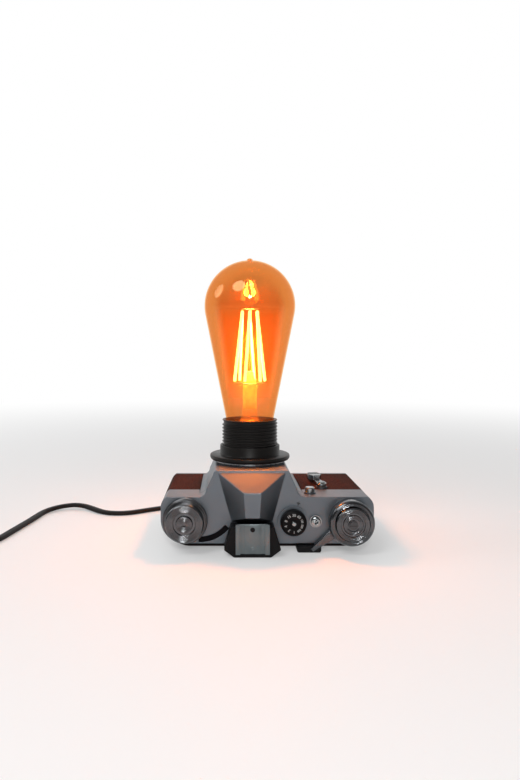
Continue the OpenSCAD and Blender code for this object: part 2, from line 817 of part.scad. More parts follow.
// Shutter speed dial on its collar, with a stem to the deck
dial_stem_r = 2;
dial_collar_rim = 1.5;
module speed_dial_collar() {
    color(CHROME) on_top(speed_dial_x, speed_dial_z)
        ring(speed_dial_r + dial_collar_rim, dial_stem_r + run_gap, collar_t);
}

module speed_dial() {
    color(BLACK) on_top(speed_dial_x, speed_dial_z) {
        translate([0, 0, collar_t + side_gap]) {
            milled(speed_dial_r, speed_dial_h - 1, 36, 0.4);
            translate([0, 0, speed_dial_h - 1])
                cylinder(r1 = speed_dial_r - 0.4, r2 = speed_dial_r - 1.2, h = 0.8);
            translate([0, 0, speed_dial_h - 0.2]) cylinder(r = 2.4, h = 0.5);
        }
        translate([0, 0, -deck_drop - casting_wall])
            cylinder(r = dial_stem_r, h = deck_drop + casting_wall + collar_t + side_gap);
    }
}

release_stem_r = 1.4;
release_stand = 2.2;
release_rim = 0.8;
release_collar_h = 1.8;
release_under = release_travel + 0.5;
module release_collar() {
    color(CHROME) on_top(release_x, release_z)
        ring(release_r + release_rim, release_r + run_gap, release_collar_h);
}

module release_button() {
    rise = release_collar_h + release_stand;
    color(CHROME) on_top(release_x, release_z) {
        difference() {
            translate([0, 0, -release_under]) cylinder(r = release_r, h = release_under + rise);
            translate([0, 0, rise - 1.2]) cylinder(r1 = 0.6, r2 = 1.4, h = 1.2 + 0.01);
        }
        translate([0, 0, -deck_drop - casting_wall - 1])
            cylinder(r = release_stem_r, h = deck_drop + casting_wall - 2);
    }
}

// Self-timer: boss and lever on the wing, button and collar on the top plate's front
timer_pin_r = 2;
timer_boss_h = 1.2;
timer_angle = 97;
module timer_place() {
    translate([timer_x, timer_y, z_front - leather_t]) children();
}

module timer_boss() {
    color(CHROME) timer_place() ring(timer_boss_r, timer_pin_r + run_gap, leather_t + timer_boss_h);
}

module timer_lever() {
    foot = leather_t + timer_boss_h + side_gap;
    arm_t = 2;
    paddle = 8.6;
    paddle_t = 4.4;
    end = timer_lever_l + 4;
    color(CHROME) timer_place() {
        translate([0, 0, -3]) cylinder(r = timer_pin_r, h = foot + 3);
        translate([0, 0, foot]) difference() {
            rotate([0, 0, timer_angle]) {
                linear_extrude(arm_t) {
                    circle(timer_boss_r - 0.4);
                    polygon([[0, -2.6], [0, 2.6], [end - 8, 2], [end - 8, -2]]);
                }
                linear_extrude(paddle_t) polygon([
                    [end - 12, -2.4], [end - 12, 2.4], [end - 9, paddle / 2], [end - 2, paddle / 2], [end, 2],
                    [end, -2], [end - 2, -paddle / 2], [end - 9, -paddle / 2]
                ]);
            }
            // Ribs on the paddle for the finger
            rotate([0, 0, timer_angle]) for (i = [0 : 3])
                translate([end - 8 + i * 1.8, -paddle, paddle_t - 0.6]) cube([0.8, 2 * paddle, 2]);
        }
        translate([0, 0, foot + arm_t]) difference() {
            cylinder(r = 2.6, h = 0.9);
            translate([-4, -0.35, 0.4]) cube([8, 0.7, 2]);
        }
    }
}

timer_stand = 3.2;
module timer_collar() {
    color(CHROME) translate([timer_button_x, timer_button_y, z_front])
        ring(timer_button_r + 0.7, timer_button_r + run_gap, 0.8);
}

module timer_button() {
    color(CHROME) translate([timer_button_x, timer_button_y, z_front - plate_t - 0.6]) {
        cylinder(r = timer_button_r, h = plate_t + 0.6 + 0.8 + timer_stand - 0.5);
        translate([0, 0, plate_t + 0.9 + timer_stand])
            cylinder(r1 = timer_button_r, r2 = timer_button_r - 0.5, h = 0.5);
    }
}

// Back door: a pan with knuckles, its cover, the pressure plate and two feet
module door_plan(inset) {
    intersection() {
        body_plan(inset);
        translate([-body_w, 0]) square([body_w + hinge_x - barrel_r - 0.5 - inset, z_back - sheet_gap]);
    }
}

cover_t = 0.6;
module back_door() {
    color(BLACK) difference() {
        union() {
            along_y(door_near, door_far) difference() {
                door_plan(0);
                translate([0, -body_t + z_door + cover_t]) square([4 * body_w, 2 * body_t], center = true);
            }
            for (span = knuckle_spans(1)) {
                hinge_at(span[0]) cylinder(r = barrel_r, h = span[1]);
                translate([hinge_x - 2 * barrel_r, span[0], hinge_z - barrel_r + 0.4])
                    cube([2 * barrel_r, span[1], barrel_r]);
            }
        }
        along_y(door_near + 2, door_far - 2) intersection() {
            body_plan(door_skin);
            translate([-body_w, z_door + door_skin]) square([body_w + hinge_x - barrel_r - 3, door_t]);
        }
        hinge_at(door_near - cut) cylinder(r = hinge_pin_r + run_gap, h = door_far - door_near + 2 * cut);
        for (span = knuckle_spans(0)) hinge_at(span[0] - side_gap)
            cylinder(r = barrel_r + side_gap, h = span[1] + 2 * side_gap);
    }
}

module door_cover() {
    color("saddlebrown") along_y(door_near, door_far) intersection() {
        door_plan(0);
        translate([0, -body_t + z_door + cover_t]) square([4 * body_w, 2 * body_t], center = true);
    }
}

module pressure_plate() {
    plate_w = 44;
    plate_h = 32;
    post_z = z_door + door_skin;
    plate_z = z_back - 1.4;
    color(CHROME) translate([lens_x, lens_y, 0]) {
        translate([0, 0, plate_z]) linear_extrude(1) rounded([plate_w, plate_h], 2);
        for (x = [-1, 1], y = [-1, 1]) translate([x * (plate_w / 2 - 5), y * (plate_h / 2 - 5), post_z])
            cylinder(r = 2, h = plate_z - post_z);
    }
}

module door_feet() {
    color(BLACK) for (x = [-half_w + 20, half_w - 26]) translate([x, door_far - foot_r - 3, 0])
        cylinder(r1 = foot_r - 0.8, r2 = foot_r, h = rest_h);
}

// Sliding latch, let into the end of the body
latch_l = 14;
latch_w = 6;
latch_t = 1.4;
latch_travel = 4;
latch_y = y_base - 25;
latch_z = z_door + back_r + 4;
module latch_recess() {
    translate([-half_w - cut, latch_y - side_gap, latch_z - latch_w / 2 - side_gap])
        cube([latch_t + sheet_gap + cut, latch_l + latch_travel + 2 * side_gap, latch_w + 2 * side_gap]);
}

module door_latch() {
    color(CHROME) difference() {
        translate([-half_w, latch_y, latch_z - latch_w / 2]) cube([latch_t, latch_l, latch_w]);
        for (i = [0 : 3]) translate([-half_w - cut, latch_y + 3.6 + 2 * i, latch_z - latch_w])
            cube([cut + 0.5, 0.8, 2 * latch_w]);
    }
}

// Lampholder: base clamped under the front wall, skirt screwed into the base, ring on the skirt
module holder_place(z) {
    translate([lens_x, lens_y, z]) children();
}

module lampholder_base() {
    drop = z_shoulder - holder_h;
    seat = skirt_r + run_gap;
    bore = insert_r + run_gap;
    z_seat = z_shoulder - skirt_seat;
    z_ledge = z_insert - insert_t;
    color(BLACK) holder_place(0) rotate_extrude() polygon(concat(
        [[5, drop], [8, drop]],
        [for (a = [0 : 15 : 90]) [8 + (holder_r - 8) * sin(a), z_ledge + (z_ledge - drop - 3) * (-cos(a)) + 3]],
        [[holder_r, z_shoulder], [seat, z_shoulder], [seat, z_seat], [bore, z_seat], [bore, z_ledge],
         [bore - 2, z_ledge], [bore - 2, z_ledge - 2], [5, drop + 4]]
    ));
}

module lampholder_skirt() {
    root = skirt_r - 0.9;
    z_foot = z_shoulder - skirt_seat;
    z_thread = z_mount + flange_t;
    ridges = floor((z_rim - 1.2 - z_thread) / thread_pitch);
    color(BLACK) holder_place(0) rotate_extrude() polygon(concat(
        [[skirt_in, z_foot], [skirt_r, z_foot], [skirt_r, z_thread]],
        [for (i = [0 : ridges - 1], p = [[0.1, 0], [0.35, -0.9], [0.65, -0.9], [0.9, 0]])
            [skirt_r + p[1], z_thread + (i + p[0]) * thread_pitch]],
        [[skirt_r, z_rim - 0.4], [skirt_r - 0.4, z_rim], [skirt_in, z_rim]]
    ));
}

module shade_ring() {
    bore = skirt_r + run_gap;
    z_flange = z_mount + flange_t;
    color(BLACK) holder_place(0) rotate_extrude() polygon([
        [bore, z_mount], [flange_r - 1.2, z_mount], [flange_r, z_mount + 0.8], [flange_r, z_flange - 0.8],
        [flange_r - 0.8, z_flange], [collar_r + 0.6, z_flange], [collar_r, z_flange + 0.6],
        [collar_r, z_flange + collar_h - 0.4], [collar_r - 0.4, z_flange + collar_h],
        [bore, z_flange + collar_h]
    ]);
}

shell_in = cap_r + side_gap + run_gap;
shell_wall = 0.5;
shell_floor = 0.8;
shell_hole_r = 9;
shell_stand = 3;
terminal_x = 9;
terminal_r = 2;
terminal_seat = 3;
terminal_h = 4.2;
module contact_insert() {
    color("ivory") holder_place(z_insert - insert_t) difference() {
        cylinder(r = insert_r, h = insert_t);
        for (side = [-1, 1]) translate([side * terminal_x, 0, -cut])
            cylinder(r = terminal_r + run_gap, h = terminal_seat + cut);
    }
}

module screw_shell() {
    color("goldenrod") holder_place(z_insert) difference() {
        cylinder(r = shell_in + shell_wall, h = cap_l + shell_stand);
        translate([0, 0, shell_floor]) cylinder(r = shell_in, h = cap_l + shell_stand);
        translate([0, 0, -cut]) cylinder(r = shell_hole_r, h = shell_floor + 2 * cut);
    }
}

module centre_contact() {
    leaf_w = 6;
    rise = z_contact - z_insert;
    color("goldenrod") holder_place(z_insert) translate([0, leaf_w / 2, 0]) rotate([90, 0, 0])
        linear_extrude(leaf_w) polygon([
            [-6, 0], [3, 0], [3, 0.5], [-4.5, 0.5], [3.5, rise - 0.5], [3.5, rise], [-1, rise], [-6, 0.8]
        ]);
}

module terminal_screws() {
    color("goldenrod") holder_place(z_insert - insert_t) for (side = [-1, 1])
        translate([side * terminal_x, 0, terminal_seat - terminal_h]) difference() {
            cylinder(r = terminal_r, h = terminal_h);
            translate([-terminal_r - cut, -0.3, -cut]) cube([2 * (terminal_r + cut), 0.6, cut + 0.5]);
        }
}

// Two inner wires from the grommet in the base, through the clamp and the lampholder's base, to the terminals
wire_r = 1.1;
wire_gap = 3;
grommet_r = 5;
wire_bend = lens_x - cord_x - grommet_r;
clamp_l = 6;
clamp_w = 10;
clamp_h = 8;
module cord_place(y) {
    translate([cord_x, y, cord_z]) rotate([-90, 0, 0]) children();
}

module wires() {
    z_entry = z_shoulder - holder_h;
    z_end = z_insert - insert_t + terminal_seat - terminal_h - wire_r;
    for (side = [-1, 1]) {
        r = wire_bend - side * wire_gap / 2;
        route = concat(
            [[cord_x + side * wire_gap / 2, chamber_far, cord_z],
             [cord_x + side * wire_gap / 2, chamber_far - clamp_l - 2, cord_z]],
            [for (a = [180 : 30 : 270])
                [cord_x + wire_bend + r * cos(a), lens_y + wire_bend + r * sin(a), cord_z]],
            [[lens_x - 2, lens_y + side * 2, cord_z + 1.5],
             [lens_x, lens_y + side * 2.4, cord_z + 7],
             [lens_x, lens_y + side * 2.4, z_entry + 4],
             [lens_x + side * 4, lens_y + side * 2, z_end - 1],
             [lens_x + side * terminal_x, lens_y, z_end]]
        );
        color(side < 0 ? "saddlebrown" : "steelblue") tube(route, wire_r, wire_r, [for (p = route) 0], 8);
    }
}

module wire_clamp() {
    color(BLACK) difference() {
        translate([cord_x - clamp_w / 2, chamber_far - clamp_l, cord_z - clamp_h / 2])
            cube([clamp_w, clamp_l, clamp_h]);
        for (side = [-1, 1]) translate([side * wire_gap / 2, 0, 0]) cord_place(chamber_far - clamp_l - cut)
            cylinder(r = wire_r + run_gap, h = clamp_l + 2 * cut);
    }
}

// Bulb: contact tip, cap, glass, stem, filaments and their wires
contact_r = 4.5;
contact_t = 1.2;
cap_taper = 5;
cap_pitch = 3.6;
cap_turns = 4;
cap_groove = 0.5;
module bulb_contact() {
    color("silver") holder_place(z_contact) cylinder(r = contact_r, h = contact_t);
}

module bulb_cap() {
    z_sleeve = z_contact + cap_taper;
    color(CHROME) holder_place(0) rotate_extrude() polygon(concat(
        [[0, z_contact + contact_t], [contact_r, z_contact + contact_t], [cap_r - 3 * cap_groove, z_sleeve]],
        [for (i = [0 : cap_turns - 1], p = [[0.1, 1], [0.4, 0], [0.6, 0], [0.9, 1]])
            [cap_r - cap_groove * p[1], z_sleeve + (i + p[0] + 0.1) * cap_pitch]],
        [[cap_r, z_cap - cap_pitch], [cap_r, z_cap], [0, z_cap]]
    ));
}

// Half section of the glass, drawn in by an inset
function glass_profile(inset) = let (
    r = bulb_r - inset,
    r_cone = r * cos(bulb_angle),
    z_cone = z_round - r * sin(bulb_angle),
    r_neck = r_cone - (z_cone - z_neck) * tan(bulb_angle),
    r_foot = cap_r - 0.3 - inset
) concat(
    [for (a = [0 : 15 : 90]) [r_foot + (r_neck - r_foot) * sin(a), z_cap + neck_h * (1 - cos(a))]],
    [for (a = [-bulb_angle : 6.75 : 89]) [r * cos(a), z_round + r * sin(a)]],
    [[0, z_round + r]]
);

module bulb_glass() {
    outer = glass_profile(0);
    inner = glass_profile(glass_t);
    nub_r = 2.4;
    color("orange", 0.4) holder_place(0) difference() {
        union() {
            rotate_extrude() polygon(concat(outer, [[0, z_cap]]));
            translate([0, 0, z_round + bulb_r + nub_h - nub_r]) sphere(nub_r);
        }
        rotate_extrude() polygon(concat(inner, [[0, z_cap - cut], [inner[0][0], z_cap - cut]]));
    }
}

stem_foot_r = 10.5;
stem_r = 5;
stem_tip_r = 2.6;
stem_flare = 14;
stem_top = 38;
module bulb_stem() {
    draw = stem_foot_r - stem_r;
    flare = [for (a = [0 : 15 : 90]) [stem_foot_r - draw * sin(a), stem_flare * (1 - cos(a))]];
    color("lightyellow") holder_place(z_cap) rotate_extrude() polygon(concat(
        [[0, 0]], flare,
        [[stem_r, 0.8 * stem_top], [stem_tip_r, 0.9 * stem_top], [stem_tip_r, stem_top], [0, stem_top]]
    ));
}

// Angles of a filament's two ends, and the ends themselves
function filament_end(i, r, turn, z) = let (a = filament_phase + 360 * i / filament_count + turn)
    [r * cos(a), r * sin(a), z];

module filaments() {
    color("yellow") holder_place(0) for (i = [0 : filament_count - 1])
        rod(filament_end(i, filament_bottom, 0, z_filament),
            filament_end(i, filament_top, filament_twist, z_filament + filament_l), filament_r);
}

module filament_wires() {
    wire = 0.35;
    z_low = z_filament - filament_r - 0.6;
    z_high = z_filament + filament_l + filament_r + 0.6;
    color(DARK) holder_place(0) {
        translate([0, 0, z_low]) rotate_extrude() translate([filament_bottom, 0]) circle(wire, $fn = 16);
        translate([0, 0, z_high]) rotate_extrude() translate([filament_top, 0]) circle(wire, $fn = 16);
        rod([0, 0, z_cap + stem_top], [0, 0, z_high + wire], wire);
        for (i = [0 : 2]) {
            rod([0, 0, z_high], filament_end(2 * i, filament_top, filament_twist, z_high), wire);
            rod(filament_end(2 * i, stem_r + 2 * wire, 0, z_low),
                filament_end(2 * i, filament_bottom, 0, z_low), wire);
        }
    }
}

// Cord: route points, the tube swept along them, and the coil
function unit(v) = v / norm(v);

function heading(route, i) = unit(route[min(i + 1, len(route) - 1)] - route[max(i - 1, 0)]);

// One ring of a flat tube, its width turned about the route by roll degrees
function flat_ring(at, way, half_width, half_thick, roll, sides) = let (
    across = unit(cross([0, 0, 1], way)),
    up = cross(way, across)
) [for (k = [0 : sides - 1]) let (
    a = 360 * k / sides,
    u = half_width * cos(a),
    v = half_thick * sin(a)
) at + (u * cos(roll) - v * sin(roll)) * across + (u * sin(roll) + v * cos(roll)) * up];

module tube(route, half_width, half_thick, rolls, sides) {
    rings = len(route);
    points = [for (i = [0 : rings - 1])
        each upright_ring(route, i, half_width, half_thick, rolls[i], sides)];
    walls = [for (i = [0 : rings - 2], k = [0 : sides - 1]) let (
        a = i * sides + k,
        b = i * sides + (k + 1) % sides
    ) each [[a, a + sides, b], [b, a + sides, b + sides]]];
    first = [for (k = [1 : sides - 2]) [0, k, k + 1]];
    last_ring = (rings - 1) * sides;
    last = [for (k = [1 : sides - 2]) [last_ring, last_ring + k + 1, last_ring + k]];
    polyhedron(points, concat(first, walls, last));
}

// A ring whose frame holds even where the route climbs
function upright_ring(route, i, half_width, half_thick, roll, sides) = let (
    way = heading(route, i),
    level = norm([way[0], way[1]])
) level > 0.3
    ? flat_ring(route[i], way, half_width, half_thick, roll, sides)
    : [for (k = [0 : sides - 1]) let (a = 360 * k / sides)
        route[i] + half_width * cos(a) * [0, 1, 0] + half_thick * sin(a) * [-1, 0, 0]];

// Grommet through the base plate, with a flange outside
flange_l = 2;
module cord_grommet() {
    color(BLACK) {
        cord_place(y_base) cylinder(r1 = grommet_r + 1.5, r2 = grommet_r + 0.8, h = flange_l);
        cord_place(chamber_far) cylinder(r = grommet_r, h = base_t + casting_wall + flange_l);
    }
}

// The lead leaves the base, turns to the side and runs along the table to the switch
switch_right = -222;
switch_left = switch_right - switch_l;
switch_y = y_top - 2;
entry_z = 5;
lead_z = cord_t / 2;
lead_turn = 24;
lead_sweep = 95;
lead_turn_y = y_base + flange_l + 4;
lead_start = [
    [cord_x, y_base + flange_l, cord_z], [cord_x, y_base + flange_l + 2, cord_z],
    [cord_x, lead_turn_y, cord_z - 0.4]
];
lead_falls = [10.3, 8.5, 6.6, 4.8, 3.3, 2.2, 1.8];
lead_arc = [for (i = [1 : len(lead_falls)]) let (a = lead_sweep * i / len(lead_falls))
    [cord_x - lead_turn * (1 - cos(a)), lead_turn_y + lead_turn * sin(a), lead_falls[i - 1]]];
// Points on the table: across, from the base or from the switch's line, and lift
lead_far = [
    [-62, 28.9, 0], [-71, 27.3, 0], [-80.5, 24.4, 0], [-90.5, 18.4, 0], [-100, 12.2, 0], [-106, 9.9, 0],
    [-112, 9, 0], [-120.2, 10.45, 0], [-127.4, 14.6, 0.2], [-136.4, 21.95, 0.9], [-143, 25.8, 1.6],
    [-150.5, 27.1, 2], [-158, 25.8, 1.6], [-164.6, 21.95, 1], [-169.55, 16.1, 0.4], [-172.3, 8.2, 0]
];
lead_near = [
    [-173.2, 81, 0], [-174.8, 67, 0], [-176.6, 54, 0], [-178.6, 40, 0], [-180.6, 26, 0], [-182.6, 18.4, 0],
    [-186.4, 11.6, 0], [-191.8, 6.1, 0], [-198.4, 2.3, 0], [-205, 0.5, 0]
];
lead_route = concat(
    lead_start,
    lead_arc,
    [for (p = lead_far) [p[0], y_base + p[1], lead_z + p[2]]],
    [for (p = lead_near) [p[0], switch_y + p[1], lead_z + p[2]]],
    [[-211, switch_y, lead_z + 1.2], [switch_right + 4, switch_y, entry_z], [switch_right, switch_y, entry_z]]
);
module cord_lead() {
    color(BLACK) tube(lead_route, cord_w / 2, cord_t / 2, [for (p = lead_route) 0], 8);
}

// The coil spirals in on the lower layer, climbs where it turns back, and spirals out on the upper one
tie_t = 0.8;
coil_x = -316;
coil_y = switch_y + coil_r;
coil_low = tie_t + cord_w / 2 + 0.2;
coil_lift = cord_w + 0.6;
coil_rings = 24;
plug_y = switch_y + 2 * coil_r - 8;
plug_z = plug_t / 2;
plug_left = -276;
function coil_point(t) = let (
    half = coil_turns / 2,
    r = coil_r - coil_step * (half - abs(t - half)),
    climb = min(max((t - half + 0.25) / 0.5, 0), 1),
    a = -90 - 360 * t
) [coil_x + r * cos(a), coil_y + r * sin(a), coil_low + coil_lift * climb];
coil_path = [for (i = [0 : coil_turns * coil_rings]) coil_point(i / coil_rings)];
coil_top = coil_low + coil_lift;
// Out of the switch the flat cord turns on its edge, and it stays so round the coil
coil_start = [
    [switch_left, switch_y, entry_z], [switch_left - 6, switch_y, entry_z],
    [switch_left - 12, switch_y, entry_z - 0.2], [switch_left - 18, switch_y, entry_z - 0.6],
    [switch_left - 25, switch_y, coil_low + 0.2]
];
coil_start_rolls = [0, 8, 30, 58, 82];
coil_end = [
    [-306, coil_y + coil_r - 0.6, coil_top], [-295, plug_y + 4, 9], [-285, plug_y + 0.6, 7.5],
    [plug_left - cord_w, plug_y, plug_z], [plug_left, plug_y, plug_z]
];
coil_route = concat(coil_start, coil_path, coil_end);
coil_rolls = concat(coil_start_rolls, [for (p = coil_path) 90], [for (p = coil_end) 90]);

// Least gap of the coil to itself, between turns and layers, on the path's own points
function stadium_gap(p, q, c) = let (
    across = abs(norm([p[0] - c[0], p[1] - c[1]]) - norm([q[0] - c[0], q[1] - c[1]])),
    rise = max(abs(p[2] - q[2]) - (cord_w - cord_t), 0)
) norm([across, rise]) - cord_t;
coil_gaps = [for (i = [0 : len(coil_path) - 1], j = [i + coil_rings : coil_rings : len(coil_path) - 1])
    stadium_gap(coil_path[i], coil_path[j], [coil_x, coil_y])];
echo(coil_least_gap = min(coil_gaps));
function way_length(route) = let (steps = [for (i = [1 : len(route) - 1]) norm(route[i] - route[i - 1])])
    steps * [for (step = steps) 1];
echo(cord_length = way_length(lead_route) + switch_l + way_length(coil_route));

module cord_coil() {
    color(BLACK) tube(coil_route, cord_w / 2, cord_t / 2, coil_rolls, 6);
    // Tie round the turns on the far side
    tie_in = coil_r - coil_step * coil_turns / 2 - cord_t / 2 - tie_t - 0.3;
    tie_w = coil_r + cord_t / 2 + 0.6 - tie_in;
    tie_h = coil_top + cord_w / 2 + 0.3;
    translate([coil_x - tie_in - tie_w, coil_y + 3, 0]) rotate([90, 0, 0]) linear_extrude(6) difference() {
        square([tie_w, tie_h + tie_t]);
        translate([tie_t, tie_t]) square([tie_w - 2 * tie_t, tie_h - tie_t]);
    }
}

// Inline switch: a hollow shell round the cord, with a rocker in its top
rocker_l = 16;
rocker_w = 11;
rocker_tilt = 8;
rocker_pin_r = 1.2;
pivot_z = switch_h - 5;
module switch_place(z) {
    translate([switch_right - switch_l / 2, switch_y, z]) children();
}

module inline_switch() {
    color(BLACK) switch_place(0) difference() {
        union() {
            linear_extrude(switch_h - 1) rounded([switch_l, switch_w], 6);
            translate([0, 0, switch_h - 1]) linear_extrude(1) rounded([switch_l - 2, switch_w - 2], 5);
        }
        translate([0, 0, 5]) linear_extrude(switch_h) rounded([rocker_l + 1, rocker_w + 1], 0.5);
        translate([0, rocker_w, pivot_z]) rotate([90, 0, 0])
            cylinder(r = rocker_pin_r + run_gap, h = 2 * rocker_w);
        translate([0, 0, switch_h / 2]) difference() {
            cube([2 * switch_l, 2 * switch_w, 0.5], center = true);
            linear_extrude(2, center = true) rounded([switch_l - 1, switch_w - 1], 5.5);
        }
    }
}

module switch_rocker() {
    color(DARK) switch_place(pivot_z) {
        rotate([90, 0, 0]) linear_extrude(rocker_w, center = true) rotate([0, 0, rocker_tilt]) polygon([
            [-rocker_l / 2 + 0.6, 3], [-3, 0], [-3, -3], [3, -3], [3, 0], [rocker_l / 2 - 0.6, 3],
            [rocker_l / 2 - 0.6, 5.6], [0, 4.6], [0.6 - rocker_l / 2, 5.6]
        ]);
        rotate([90, 0, 0]) cylinder(r = rocker_pin_r, h = 2 * rocker_w - 1, center = true);
    }
}

// Flat two-pin plug
pin_r = 2;
pin_l = 19;
pin_step = 18.6;
plug_throat = 6;
plug_brow = 6;
module plug() {
    wide = plug_w / 2;
    brow = plug_l - plug_brow;
    color(BLACK) translate([plug_left, plug_y, 0]) linear_extrude(plug_t) polygon([
        [0, -plug_throat], [plug_l / 2, 3 - wide], [brow, -wide], [plug_l, 2 - wide],
        [plug_l, wide - 2], [brow, wide], [plug_l / 2, wide - 3], [0, plug_throat]
    ]);
    color(CHROME) for (side = [-1, 1]) translate([plug_left + plug_l, plug_y + side * pin_step / 2, plug_z])
        rotate([0, 90, 0]) cylinder(r = pin_r, h = pin_l);
}

body_casting();
base_plate();
tripod_bush();
base_screws();
top_plate();
pentaprism();
front_housing();
lens_mount_ring();
leatherette_left();
leatherette_right();
eyepiece_frame();
eyepiece_lens();
shoe_adapter();
accessory_shoe();
shoe_screws();
meter_window();
meter_needle();
rewind_bush();
rewind_post();
rewind_knob();
film_speed_ring();
speed_dial_collar();
speed_dial();
release_collar();
release_button();
wind_post();
wind_lever();
lever_grip();
counter_disc();
timer_boss();
timer_lever();
timer_collar();
timer_button();
back_door();
door_cover();
pressure_plate();
door_feet();
hinge_pin();
door_latch();
lampholder_base();
lampholder_skirt();
shade_ring();
contact_insert();
screw_shell();
centre_contact();
terminal_screws();
wires();
wire_clamp();
bulb_contact();
bulb_cap();
bulb_glass();
bulb_stem();
filaments();
filament_wires();
cord_grommet();
cord_lead();
cord_coil();
inline_switch();
switch_rocker();
plug();
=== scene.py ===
import json
import math

import bpy
from mathutils import Matrix, Vector


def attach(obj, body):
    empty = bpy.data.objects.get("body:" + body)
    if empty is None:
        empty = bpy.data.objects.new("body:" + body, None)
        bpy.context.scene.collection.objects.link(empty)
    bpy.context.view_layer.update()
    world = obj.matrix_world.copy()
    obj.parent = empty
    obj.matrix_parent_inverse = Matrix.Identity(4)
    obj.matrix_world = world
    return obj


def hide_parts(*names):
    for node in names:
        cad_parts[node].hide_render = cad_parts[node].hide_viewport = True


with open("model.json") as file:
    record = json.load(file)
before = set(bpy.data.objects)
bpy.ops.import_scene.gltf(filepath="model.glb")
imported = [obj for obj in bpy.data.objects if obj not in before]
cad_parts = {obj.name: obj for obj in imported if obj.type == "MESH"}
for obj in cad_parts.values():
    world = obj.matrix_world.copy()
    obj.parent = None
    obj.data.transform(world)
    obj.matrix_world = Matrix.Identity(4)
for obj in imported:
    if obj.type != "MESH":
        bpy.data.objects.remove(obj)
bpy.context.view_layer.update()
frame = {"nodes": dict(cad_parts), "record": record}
nodes = frame["nodes"]
scene = bpy.context.scene
MM = 0.001

# Places of the bulb, the dials, the switch and the plug, in millimetres, as the solids have them
LENS_X, LENS_Y = -10, 6
Y_TOP = -32
DIAL_X, DIAL_Z = 53, 20.5
SPEED_X, SPEED_Z = 16.6, 19.6
RELEASE_X, RELEASE_Z = 31, 19.8
SWITCH_X, SWITCH_Y = -252, -34
PLUG_X, PLUG_Y = -276, 38


# Camera

def set_camera():
    """A level camera in front of the top plate, its frame moved as the photograph is framed."""
    lens = bpy.data.cameras.new("photographer")
    lens.lens = 28.57
    lens.sensor_width = 36
    lens.shift_x = 0.041
    lens.shift_y = -0.0487
    lens.clip_start = 0.01
    eye = bpy.data.objects.new("photographer", lens)
    eye.location = (-0.0254, -0.432, 0.1288)
    eye.rotation_euler = (math.radians(90), 0, 0)
    scene.collection.objects.link(eye)
    scene.camera = eye


set_camera()


# Shader maths

class Value:
    """A socket in a node tree, with the operators that its sums need."""

    def __init__(self, tree, socket):
        self.tree = tree
        self.socket = socket

    def maths(self, operation, first, second=0.0):
        return self.tree.node("ShaderNodeMath", {"operation": operation}, {0: first, 1: second})

    def __add__(self, other):
        return self.maths("ADD", self, other)

    def __radd__(self, other):
        return self.maths("ADD", other, self)

    def __sub__(self, other):
        return self.maths("SUBTRACT", self, other)

    def __rsub__(self, other):
        return self.maths("SUBTRACT", other, self)

    def __mul__(self, other):
        return self.maths("MULTIPLY", self, other)

    def __rmul__(self, other):
        return self.maths("MULTIPLY", other, self)

    def __pow__(self, other):
        return self.maths("POWER", self, other)

    def sine(self):
        return self.maths("SINE", self)

    def size(self):
        return self.maths("ABSOLUTE", self)

    def most(self, other):
        return self.maths("MAXIMUM", self, other)

    def between(self, low, high):
        """0 below low, 1 above high, smooth between."""
        return self.tree.node(
            "ShaderNodeMapRange", {"interpolation_type": "SMOOTHSTEP"},
            {"Value": self, "From Min": low, "From Max": high})


class Nodes:
    """A node tree, with one method that adds any node to it."""

    def __init__(self, tree):
        self.tree = tree

    def put(self, socket, value):
        if isinstance(value, Value):
            self.tree.links.new(value.socket, socket)
        else:
            socket.default_value = value

    def node(self, kind, settings=None, inputs=None, output=0):
        new = self.tree.nodes.new(kind)
        for name, value in (settings or {}).items():
            setattr(new, name, value)
        for name, value in (inputs or {}).items():
            self.put(new.inputs[name], value)
        return Value(self, new.outputs[output])


class Finish(Nodes):
    """One material with a principled shader."""

    def __init__(self, name, **sockets):
        self.material = bpy.data.materials.new(name)
        self.material.use_nodes = True
        super().__init__(self.material.node_tree)
        self.shader = self.tree.nodes["Principled BSDF"]
        self.output = self.tree.nodes["Material Output"]
        self.set(**sockets)

    def set(self, **sockets):
        for name, value in sockets.items():
            self.put(self.shader.inputs[name.replace("_", " ")], value)

    def place(self):
        return self.node("ShaderNodeTexCoord", output="Object")

    def axes(self):
        parts = self.node("ShaderNodeSeparateXYZ", inputs={"Vector": self.place()})
        outputs = parts.socket.node.outputs
        return [Value(self, outputs[i]) for i in range(3)]

    def noise(self, scale, detail=2.0, roughness=0.5, vector=None):
        return self.node("ShaderNodeTexNoise", inputs={
            "Vector": vector or self.place(), "Scale": scale, "Detail": detail, "Roughness": roughness})

    def tone(self, factor, low, high):
        """A colour between two colours or mixed colours, by a factor."""
        low, high = (c if isinstance(c, Value) else (*c, 1) for c in (low, high))
        return self.node(
            "ShaderNodeMix", {"data_type": "RGBA"}, {"Factor": factor, 6: low, 7: high}, output=2)

    def relief(self, height, strength, depth):
        return self.node("ShaderNodeBump", inputs={
            "Height": height, "Strength": strength, "Distance": depth})

    def rings(self, x, z, scale, detail, mirrored=False):
        """Noise that changes only with the distance from an axis along Y, as on a turned face."""
        across, _, up = self.axes()
        if mirrored:
            across = across.size()
        spot = self.node("ShaderNodeCombineXYZ", inputs={0: across - x * MM, 1: up - z * MM})
        length = self.node("ShaderNodeVectorMath", {"operation": "LENGTH"}, {0: spot}, output="Value")
        radius = length * (1 / MM)
        return self.node(
            "ShaderNodeTexNoise", {"noise_dimensions": "1D"}, {"W": radius * scale, "Detail": detail})


# Finishes

